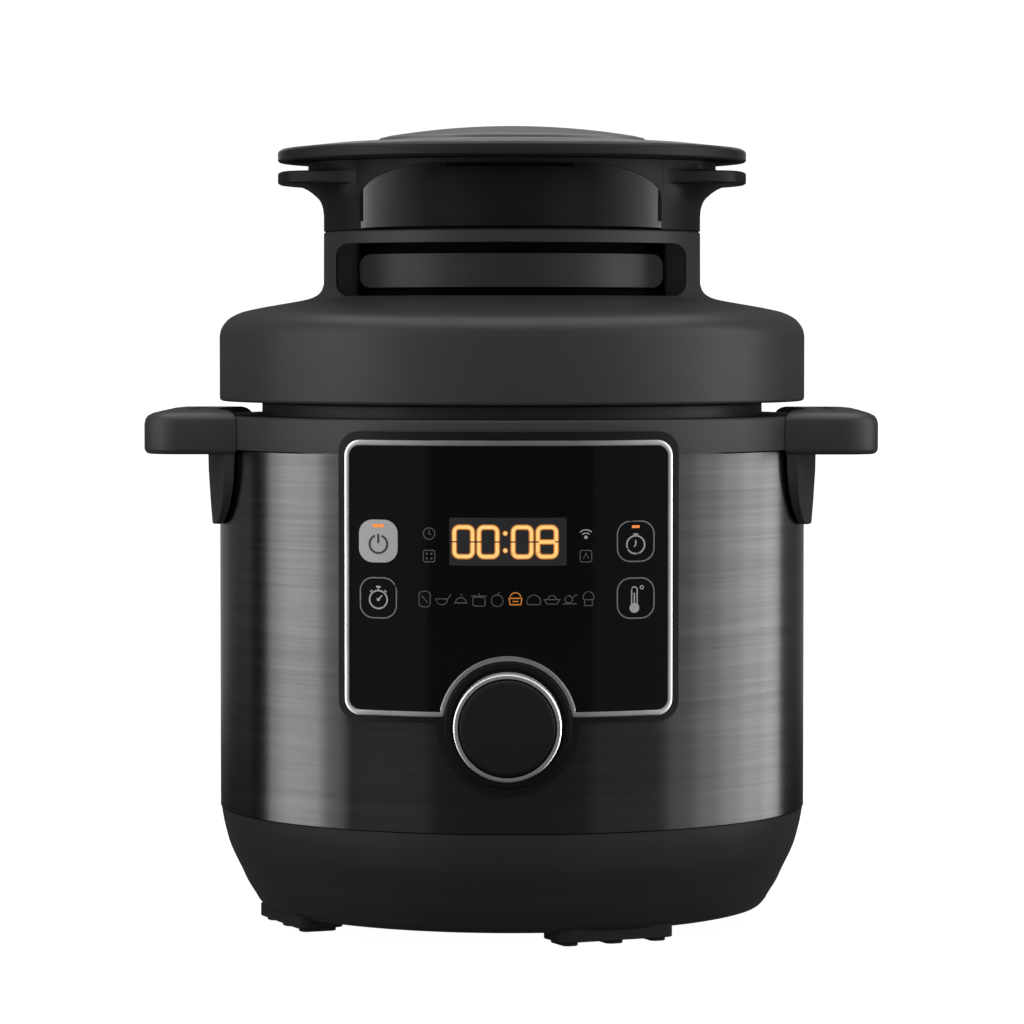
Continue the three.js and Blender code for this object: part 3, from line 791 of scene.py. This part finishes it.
row_s, lit_s = [], []
for i, x in enumerate(ROW):
    s, p = grow(*icon(i, x, RZ), x, RZ, 1.14)
    (lit_s if i == 5 else row_s).extend(s)
prints("programme_icons", row_s, [], SI, PRINT_DIM, "housing")
prints("programme_icon_lit", lit_s, [], SI, AMBER_DIM, "housing")

# keys
KEYS = {"key_power": (-60.5, 192.4), "key_timer": (60.5, 192.4), "key_clock": (-60.5, 165.8), "key_temperature": (60.5, 165.8)}
for nm, (kx, kz) in KEYS.items():
    body = nm + "_body"
    light = nm == "key_power"
    w = 18.4 if light else 17.6
    pad = curved(rrect(w, w + 1.6, 6.4, kx * 0.995 - 0.6, kz + 0.4), 148.2, 149.45 if light else 149.12)
    made(pad, nm + "_cap", KEYPAD if light else LENS, body, [nm], 34, 0.35, 2)
    r = 149.46 if light else 149.13
    cx, cz = kx * 0.995 - 0.6, kz + 0.4
    ink = PRINT_DARK if light else PRINT
    s, p, lamp = [], [], []
    if not light:
        prints(nm + "_outline", [(rrect(w - 0.4, w + 1.2, 6.1, cx, cz, 8), 0.6, True)], [], r, OUTLINE, body)
    if nm == "key_power":
        s += [(arc_pts(cx, cz - 1.4, 4.2, 112, 428, 30), 0.95, False), ([(cx, cz + 3.4), (cx, cz - 1.0)], 0.95, False)]
        lamp = [[(cx - 2.6, cz + 6.4), (cx + 2.6, cz + 6.4), (cx + 2.6, cz + 8.0), (cx - 2.6, cz + 8.0)]]
    elif nm == "key_timer":
        s += [(circle(cx, cz - 1.6, 4.2, 28), 0.7, True), ([(cx, cz + 0.6), (cx, cz - 1.6), (cx - 0.8, cz - 2.6)], 0.6, False), ([(cx - 1.2, cz + 3.4), (cx + 1.2, cz + 3.4)], 0.6, False)]
        lamp = [[(cx - 1.8, cz + 6.2), (cx + 1.8, cz + 6.2), (cx + 1.8, cz + 7.5), (cx - 1.8, cz + 7.5)]]
    elif nm == "key_clock":
        s += [(circle(cx, cz - 0.8, 4.2, 28), 0.7, True), ([(cx, cz - 0.8), (cx + 1.8, cz + 1.2)], 0.6, False), ([(cx - 1.1, cz + 5.2), (cx + 1.1, cz + 5.2)], 0.8, False),
              ([(cx, cz + 5.2), (cx, cz + 3.6)], 0.6, False), ([(cx + 2.9, cz + 3.6), (cx + 3.9, cz + 2.7)], 0.6, False), ([(cx - 2.9, cz + 3.6), (cx - 3.9, cz + 2.7)], 0.6, False)]
        p = [circle(cx, cz - 0.8, 0.8, 10)]
    else:
        s += [(arc_pts(cx - 0.6, cz + 4.0, 1.3, 0, 180, 10), 0.55, False), ([(cx - 1.9, cz + 4.0), (cx - 1.9, cz - 3.0)], 0.55, False), ([(cx + 0.7, cz + 4.0), (cx + 0.7, cz - 3.0)], 0.55, False),
              (circle(cx + 2.9, cz + 5.0, 0.8, 12), 0.45, True), ([(cx - 0.6, cz + 2.5), (cx - 0.6, cz - 4.0)], 0.6, False)]
        p = [circle(cx - 0.6, cz - 4.6, 2.3, 18)]
    prints(nm + "_print", s, p, r, ink, body)
    if lamp:
        prints(nm + "_lamp", [], lamp, r, ORANGE, body, 0.15)

# knob
turned_y("knob_cap", [(0, -142.9), (3, -142.9), (3, -151.2), (22.3, -151.2), (22.3, -166.4, 0.5), (21.8, -167.2, 0.4), (20.4, -167.6, 0.8), (0, -168.0)],
         0, KZ, KNOB, "knob", ["knob_body"], 128, 24)
turned_y("knob_bezel", [(22.8, -151.2), (25.1, -151.2, 0.4), (25.1, -165.4, 0.6), (24.6, -166.1, 0.5), (22.9, -166.3, 0.3)],
         0, KZ, RING, "knob", ["knob_ring"], 160, 24)
kn = []
for k in range(72):
    a = 2 * PI * k / 72
    kn.append(a)
verts, faces = [], []
for a in kn:
    for da, rr_ in ((-0.012, 25.0), (0, 25.28), (0.012, 25.0)):
        for y in (-152.5, -160.5):
            verts.append((rr_ * math.cos(a + da), y, KZ + rr_ * math.sin(a + da)))
for k in range(72):
    s = k * 6
    faces += [(s, s + 1, s + 3, s + 2), (s + 2, s + 3, s + 5, s + 4), (s, s + 2, s + 4), (s + 1, s + 5, s + 3)]
obj_from("knob_grip_ribs", verts, faces, CHROME, "knob", (), 20)

# ------------------------------------------------------------------ pot
turned("cooking_pot", [(0, 57.4), (92, 57.4, 6), (103, 60.8, 8), (110, 72, 10), (110, 231.7, 0.8), (117, 231.7, 0.6), (117, 234, 1.0), (108, 234, 1.2),
                       (108, 74, 9), (101.5, 63, 8), (92, 59.6, 6), (0, 59.6)], POT, "pot", ["inner_pot"], 192, 24, n=6)
mk = []
for i, z in enumerate((100, 122, 144, 166, 188)):
    a0 = math.radians(180)
    for k in range(12):
        a = a0 - 0.05 + 0.1 * k / 12
        mk.append((a, a + 0.1 / 12, z))
verts, faces = [], []
for a, c, z in mk:
    s = len(verts)
    for ang, zz in ((a, z - 0.4), (c, z - 0.4), (c, z + 0.4), (a, z + 0.4)):
        verts.append((107.9 * math.sin(ang), -107.9 * math.cos(ang), zz))
    for ang, zz in ((a, z - 0.4), (c, z - 0.4), (c, z + 0.4), (a, z + 0.4)):
        verts.append((107.6 * math.sin(ang), -107.6 * math.cos(ang), zz))
    faces += [(s + 4, s + 5, s + 6, s + 7), (s, s + 1, s + 5, s + 4), (s + 2, s + 3, s + 7, s + 6), (s, s + 3, s + 2, s + 1), (s, s + 4, s + 7, s + 3), (s + 1, s + 2, s + 6, s + 5)]
obj_from("pot_level_marks", verts, faces, PRINT, "pot", (), 30)

# ------------------------------------------------------------------ lid
outer = smooth_curve([(145, 288), (144.4, 291.2), (142.6, 294.4), (139.6, 297.3), (134, 300.0), (126, 301.9), (119, 303.2), (103.2, 306.0), (97.4, 308.0), (94.6, 310.6), (93.4, 314)], 4)
prof = [(117, 256.3), (143.3, 256.3)] + [(143.3 + 1.7 * math.sin(t), 258 - 1.7 * math.cos(t)) for t in [PI / 2 * k / 5 for k in range(1, 6)]]
prof += outer + [(93.3, 338.9), (92.6, 339.6), (90.3, 339.6), (90.3, 312), (97, 307), (102, 303.2), (132.5, 297.3), (139.5, 292.5), (142, 287), (142, 259.3), (114, 259.3), (114, 240.7), (117, 240.7)]
lid = raw(*revolve(prof, 256))
for y0, y1, w, cr in ((-100, -30, 171, 6.5), (50, 100, 120, 11)):
    cut(lid, ("DIFFERENCE", raw(*prism(rrect(w, 25.6, cr, 0, 320.6, 10), y0, y1))))
for a in (45, 135, 225, 315):
    v, f = prism(rrect(22, 27.8, 0.5, 119, 0, 2), 240.0, 245.0, "Z")
    tool = raw(v, f)
    c, s = math.cos(math.radians(a)), math.sin(math.radians(a))
    for vt in tool.data.vertices:
        x, y = vt.co.x, vt.co.y
        vt.co.x, vt.co.y = x * c - y * s, x * s + y * c
    cut(lid, ("DIFFERENCE", tool))
made(lid, "lid_body", BLACK, "lid", ["lid_shell", "lid_neck"], 30, 0.5, 2)

drum_prof = [(8, 268), (138, 268), (138, 259.6), (140.5, 259.6), (140.5, 270.5), (75.0, 270.5), (75, 373, 0.8), (72.5, 373, 0.8), (72.5, 270.5), (8, 270.5)]
turned("steam_drum", drum_prof, DRUM, "lid", ["inner_drum"], 224, 26)
pan = ring(74.8, 78.3, 300, 340, 220, math.radians(-80), math.radians(80))
cut(pan, ("INTERSECT", raw(*prism(rrect(149, 16.2, 5.5, 0, 320.1, 8), -110, -10))))
made(pan, "drum_panel_front", DRUM_PANEL, "lid", (), 34, 1.1, 3)
# near-black sheet over the drum above and below the front band: painted shade from the neck ring overhead, not a groove
made(ring(74.6, 75.35, 304.5, 341.5, 120, math.radians(-89), math.radians(89)), "drum_groove", PAINTED_SHADE_BLACK, "lid", (), 30)
for i, a0 in enumerate((-81, 71), 1):
    made(ring(79.8, 90.2, 307.5, 336, 24, math.radians(a0), math.radians(a0 + 10)), f"window_cheek_{i}", BLACK, "lid", (), 30, 1.2, 3)
# thin near-black strip on the drum just under the top plate's front edge: painted shadow line cast by the overhanging
# plate, not a vent
made(ring(74.6, 75.3, 370.0, 371.3, 40, math.radians(-24), math.radians(24)), "drum_vent_slot", PAINTED_SHADE_BLACK, "lid", (), 30)
pan = ring(74.8, 78.3, 300, 340, 200, math.radians(180 - 64), math.radians(180 + 64))
cut(pan, ("INTERSECT", raw(*prism(rrect(108, 16.2, 5.5, 0, 320.1, 8), 20, 110))))
made(pan, "drum_panel_back", DRUM_PANEL, "lid", (), 34, 0.8, 3)

ip = [(5, 231), (60, 231), (62, 230.2, 1), (66, 230.2, 1), (68, 231), (105, 231, 1), (105, 238.4), (116.5, 238.4), (116.5, 240.3, 0.5), (103, 240.3), (103, 233), (5, 233)]
ipo = raw(*revolve(fillet(ip), 160))
for x, y in ((0, 38), (38, 0)):
    v, f = prism(circle(x, y, 4.6, 24), 225, 245, "Z")
    cut(ipo, ("DIFFERENCE", raw(v, f)))
made(ipo, "lid_plate", STEEL, "lid", ["lid_inner_plate"], 28)
turned("lid_gasket", [(105.5, 234.3, 0.6), (108.5, 235.2, 0.5), (112, 234.3, 0.6), (116, 234.3, 0.6), (116, 238.1, 0.6), (105.5, 238.1, 0.6)], SILICONE, "lid", ["sealing_ring"], 160)

# ------------------------------------------------------------------ turning handle
wall = raw(*revolve([(89.8, 340.0), (93.3, 340.0), (93.3, 373.7), (89.8, 373.7)], 256))
arch = [(-73, 338), (73, 338), (73, 355)]
for k in range(1, 15):
    t = PI / 2 * k / 14
    arch.append((32 + 41 * math.cos(t), 355 + 16.4 * math.sin(t)))
arch += [(-x, z) for x, z in reversed(arch[2:])]
for y0, y1 in ((-100, -30), (30, 100)):
    cut(wall, ("DIFFERENCE", raw(*prism(arch, y0, y1))))
# each ear swells out of the wall and fades back into it: (r - wall, z) scaled by the fade
EAR = [(-3.4, 344.0), (0.0, 344.0)] + smooth_curve([(0.0, 347.5), (0.5, 351.5), (2.0, 355.2), (5.0, 358.2), (8.4, 360.6), (12.0, 362.2)], 4)
EAR += [(21.6, 363.0), (22.5, 363.5), (22.7, 364.2), (22.7, 367.8), (22.5, 368.5), (21.6, 369.0), (8.4, 369.1), (7.7, 369.8), (7.7, 373.7), (-3.4, 373.7)]
ears = []
for ctr in (90, 270):
    verts, faces, n, steps = [], [], len(EAR), 96
    for i in range(steps + 1):
        a = -37.5 + 75 * i / steps
        t = max(0.0, min(1.0, (37.5 - abs(a)) / 21))
        f = t * t * (3 - 2 * t)
        f = 0.004 + 0.996 * f
        az = math.radians(ctr + a)
        for dr, z in EAR:
            rr_ = 93.3 + (dr * f if dr > 0 else dr)
            verts.append((rr_ * math.sin(az), -rr_ * math.cos(az), z))
    for i in range(steps):
        for k in range(n):
            j = (k + 1) % n
            faces.append((i * n + k, i * n + j, (i + 1) * n + j, (i + 1) * n + k))
    faces += [tuple(range(n)), tuple(steps * n + k for k in reversed(range(n)))]
    ears.append((verts, faces))
for i, (v, f) in enumerate(ears, 1):
    obj_from(f"grip_ear_{i}", v, f, GRIP_SHADE_BLACK, "lid_handle", (), 36)
made(wall, "turning_grip", GRIP_SHADE_BLACK, "lid_handle", ["handle_frame"], 30, 0.45, 2)
turned("top_plate", [(7.6, 374), (115.2, 374, 0.4), (116, 374.8, 0.8), (116, 379.2, 1.6), (114, 380.4, 1.2), (92, 382.8, 8), (67.6, 384.4, 0.6), (66.5, 383.6, 0.3), (66.5, 380.2), (7.6, 380.2)],
       BLACK_TOP, "lid_handle", ["top_cover"], 256, 20)
dome = [(62, 380.6), (66, 380.6), (66, 385.0)] + [(66 - 0.8 + 0.8 * math.cos(t), 385.2 + 0.8 * math.sin(t)) for t in [PI / 2 * k / 4 for k in range(5)]]
dome += [(r, 392 - r * r / 740.0) for r in (62, 56, 50, 44, 38, 32, 26, 20, 15, 12.7)] + [(12.4, 391.4), (12.6, 389.4), (40, 387.0), (62, 384.2)]
turned("dome_cap", dome, PALE, "lid_handle", ["dome_insert"], 256, 24, fil=False)
turned("push_button", [(0, 387.2), (12, 387.2), (12.2, 391.75, 0.4), (9.6, 391.8, 1.0), (8.8, 391.4, 1.0), (0, 391.3)], PALE, "release", ["release_button"], 96, 24)

# ------------------------------------------------------------------ back
cupo = raw(*prism(rrect(64, 18, 4.5, 0, 159, 6), 148, 213.6, "Z"))
cut(cupo, ("DIFFERENCE", raw(*prism(rrect(59.4, 13.4, 3.4, 0, 159, 6), 150.6, 220, "Z"))))
made(cupo, "drip_cup", SMOKE, "cup", ["condensation_collector"], 32, 0.8, 3)
bk = raw(*prism(rrect(72, 72, 5, 0, 186, 6), 139, 149.4))
cut(bk, ("DIFFERENCE", raw(*revolve([(0, 140), (145.3, 140), (145.3, 230), (0, 230)], 256))),
    ("UNION", raw(*prism(rrect(72, 7.5, 3, 0, 218.25, 6), 147.5, 166))))
made(bk, "cup_bracket", BLACK, "housing", ["collector_bracket"], 32, 0.7, 3)
inl = raw(*prism(rrect(34, 26, 3, 0, 33), 122, 144.6))
cut(inl, ("UNION", raw(*prism(rrect(42, 34, 4, 0, 33), 144.3, 146.3))), ("DIFFERENCE", raw(*prism([(-12.5, 24.5), (12.5, 24.5), (12.5, 37.5), (8.5, 41.5), (-8.5, 41.5), (-12.5, 37.5)], 130, 150))))
made(inl, "power_inlet", BLACK, "housing", ["mains_inlet"], 32, 0.5, 2)
for i, (x, z) in enumerate(((-7, 31), (7, 31), (0, 36)), 1):
    made(raw(*prism(rrect(2, 4.4, 0.5, x, z, 3), 129, 143)), f"inlet_pin_{i}", STEEL, "housing", (), 32, 0.2, 2)

# ------------------------------------------------------------------ springs: coil meshes in place of the CAD spring nodes
def spring(name, R, wr, z0, z1, turns, node):
    n, m = int(26 * turns), 10
    verts, faces = [], []
    for i in range(n + 1):
        t = i / n
        z = z0 + wr + (z1 - z0 - 2 * wr) * min(max((t - 0.16) / 0.68, 0), 1)
        a = 2 * PI * turns * t
        for k in range(m):
            q = 2 * PI * k / m
            r = R + wr * math.cos(q)
            verts.append((r * math.cos(a), r * math.sin(a), z + wr * math.sin(q)))
    for i in range(n):
        for k in range(m):
            j = (k + 1) % m
            faces.append((i * m + k, i * m + j, (i + 1) * m + j, (i + 1) * m + k))
    faces += [tuple(range(m)), tuple(n * m + k for k in reversed(range(m)))]
    ob = obj_from(name, verts, faces, STEEL, None, [node], 60)
    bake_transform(ob)


spring("sensor_coil", 8.5, 0.8, 37.0, 47.7, 4, "sensor_spring")
spring("button_coil", 7.0, 0.7, 383.3, 386.9, 2, "release_spring")

# ------------------------------------------------------------------ CAD pieces that stay
KEEP = {
    "bottom_cover": (BLACK_BASE, 0.4), "heating_element": (STEEL, None), "heater_support": (STEEL, None), "sensor_bracket": (STEEL, 0.3),
    "power_board": (PCB, 0.2), "transformer": (CAST, 0.4), "thermal_fuse": (WHITE, 0.3), "control_board": (PCB, 0.2), "encoder": (WHITE, 0.4),
    "ribbon_lead": (WHITE, None), "valve_seat": (STEEL, 0.3), "anti_block_cap": (STEEL, 0.3), "float_valve": (RED, 0.3), "pressure_valve": (BLACK, 0.5),
    "hub_shaft": (STEEL, 0.3), "cam_disc": (STEEL, 0.3), "release_rod": (STEEL, 0.2),
    "locking_jaw_1": (STEEL, 0.4), "locking_jaw_2": (STEEL, 0.4), "locking_jaw_3": (STEEL, 0.4), "locking_jaw_4": (STEEL, 0.4),
}
for nm, (mt, bv) in KEEP.items():
    keep_node(nm, mt, bv)

# ------------------------------------------------------------------ stage, camera, lights
v = [(-9000, -450, 0), (9000, -450, 0), (9000, 16000, 0), (-9000, 16000, 0)]
nx, ny = 24, 24
verts = [(-9000 + 18000 * i / nx, -450 + 16450 * (j / ny) ** 2, 0) for j in range(ny + 1) for i in range(nx + 1)]
faces = [(j * (nx + 1) + i, j * (nx + 1) + i + 1, (j + 1) * (nx + 1) + i + 1, (j + 1) * (nx + 1) + i) for j in range(ny) for i in range(nx)]
fl = obj_from("floor", verts, faces, FLOOR)
fl.visible_glossy = False
fl.visible_diffuse = False

world = bpy.data.worlds.new("studio")
bpy.context.scene.world = world
world.use_nodes = True
wt = world.node_tree
wt.nodes.clear()
wo = wt.nodes.new("ShaderNodeOutputWorld")
mix = wt.nodes.new("ShaderNodeMixShader")
lp = wt.nodes.new("ShaderNodeLightPath")
dark = wt.nodes.new("ShaderNodeBackground")
dark.inputs[0].default_value = (0.96, 0.98, 1.0, 1)
dark.inputs[1].default_value = 0.07
lite = wt.nodes.new("ShaderNodeBackground")
lite.inputs[0].default_value = (1, 1, 1, 1)
lite.inputs[1].default_value = 1.05
wt.links.new(lp.outputs["Is Camera Ray"], mix.inputs[0])
wt.links.new(dark.outputs[0], mix.inputs[1])
wt.links.new(lite.outputs[0], mix.inputs[2])
wt.links.new(mix.outputs[0], wo.inputs[0])


def area(name, az, dist, w, h, z, radiance, aim_z=0.2, color=(1, 1, 1)):
    a = math.radians(az)
    li = bpy.data.lights.new(name, "AREA")
    li.shape = "RECTANGLE"
    li.size, li.size_y = w, h
    li.energy = radiance * math.pi * w * h
    li.color = color
    ob = bpy.data.objects.new(name, li)
    bpy.context.scene.collection.objects.link(ob)
    ob.location = (dist * math.sin(a), -dist * math.cos(a), z)
    d = Vector((0, 0, aim_z)) - ob.location
    ob.rotation_euler = d.to_track_quat("-Z", "Y").to_euler()
    ob.visible_camera = False
    return ob


METALS = {BLACK_STEEL, CHROME, RING, STEEL, LENS, DISPLAY, CAST}
groups = {k: bpy.data.collections.new(k) for k in ("metal_set", "plastic_set", "drum_set", "band_set")}
for ob in bpy.data.objects:
    if ob.type != "MESH" or ob is fl or not ob.data.materials:
        continue
    mt = ob.data.materials[0]
    groups["metal_set" if mt in METALS else "drum_set" if mt is DRUM else "band_set" if mt is DRUM_PANEL else "plastic_set"].objects.link(ob)


def strips(name, table, dist=1.5, h=1.7, z=0.55, group=None, shadow=True, mis=True):
    for i, (a0, a1, rad) in enumerate(table):
        lo = area(f"{name}_{i}", (a0 + a1) / 2, dist, 2 * dist * math.tan(math.radians(abs(a1 - a0) / 2)), h, z, rad, aim_z=z)
        if group:
            lo.light_linking.receiver_collection = group
        lo.data.use_shadow = shadow
        lo.data.cycles.use_multiple_importance_sampling = mis


strips("left_edge", [(-176, -150, 0.45), (-150, -117, 0.7)], 1.5, 1.5, 0.72, groups["metal_set"])
strips("left", [(-105, -97, 3.9), (-97, -86, 5.2), (-86, -75, 4.8), (-75, -64, 1.6)], group=groups["metal_set"])
strips("right", [(60, 74, 1.2), (74, 86, 2.3), (86, 98, 3.9), (98, 112, 5.7), (112, 125.5, 8.0)], group=groups["metal_set"])
strips("right_edge", [(127, 140, 0.7), (140, 150, 0.4), (150, 176, 0.25)], 1.5, 1.5, 0.72, groups["metal_set"])
strips("left_low", [(-105, -75, 2.6)], 1.5, 1.0, -0.85, groups["metal_set"])
strips("right_low", [(74, 98, 1.5), (98, 127, 3.6)], 1.5, 1.0, -0.85, groups["metal_set"])
strips("soft_left", [(-98, -76, 1.4), (-76, -52, 2.2)], group=groups["plastic_set"])
strips("soft_right", [(54, 76, 1.5), (76, 106, 2.6)], group=groups["plastic_set"])
strips("drum_left", [(-165, -125, 0.8), (-125, -95, 0.75), (-95, -70, 0.4)], group=groups["drum_set"], shadow=False, mis=False)
strips("drum_right", [(70, 95, 0.45), (95, 125, 0.8), (125, 165, 0.8)], group=groups["drum_set"], shadow=False, mis=False)
strips("band_left", [(-98, -58, 1.3)], group=groups["band_set"], shadow=False)
strips("band_right", [(62, 104, 1.55)], group=groups["band_set"], shadow=False)
strips("front", [(-60, -30, 0.72), (-30, 30, 0.37), (30, 60, 0.64)], 1.9, 2.6, 0.35, groups["plastic_set"])
strips("front_metal", [(-60, -30, 0.32), (-30, 30, 0.10), (30, 60, 0.28)], 1.9, 2.6, 0.35, groups["metal_set"])
strips("front_drum", [(-60, -30, 0.3), (-30, 30, 0.12), (30, 60, 0.3)], 1.9, 2.6, 0.35, groups["drum_set"])
strips("front_band", [(-60, -30, 0.45), (-30, 30, 0.22), (30, 60, 0.45)], 1.9, 2.6, 0.35, groups["band_set"])
plate_set = bpy.data.collections.new("plate_set")
plate_set.objects.link(bpy.data.objects["top_plate"])
strips("plate_back", [(156, 204, 1.6)], 1.9, 0.8, 0.78, plate_set)
floor_set = bpy.data.collections.new("floor_set")
floor_set.objects.link(fl)
object_set = bpy.data.collections.new("object_set")
for g in groups.values():
    for ob in g.objects:
        object_set.objects.link(ob)
for nm, energy, spread, group, shadow in (("overhead", 2.7, 75, object_set, True), ("floor_even", 3.75, 10, floor_set, False), ("floor_soft", 0.4, 60, floor_set, True)):
    sun = bpy.data.lights.new(nm, "SUN")
    sun.energy = energy
    sun.angle = math.radians(spread)
    sun.use_shadow = shadow
    so = bpy.data.objects.new(nm, sun)
    bpy.context.scene.collection.objects.link(so)
    so.rotation_euler = (math.radians(-6), 0, 0)
    so.light_linking.receiver_collection = group

cam = bpy.data.cameras.new("camera")
cam.sensor_width = 36
cam.lens = 36 * 4500 / 1024
cam.clip_start, cam.clip_end = 0.05, 60
co = bpy.data.objects.new("camera", cam)
bpy.context.scene.collection.objects.link(co)
AZ, DIST = math.radians(0.74), 2.238
co.location = (DIST * math.sin(AZ), -DIST * math.cos(AZ), 0.2947)
co.rotation_euler = (math.radians(90 - 2.405), 0, AZ)
bpy.context.scene.camera = co
bpy.context.scene.view_settings.view_transform = "Standard"
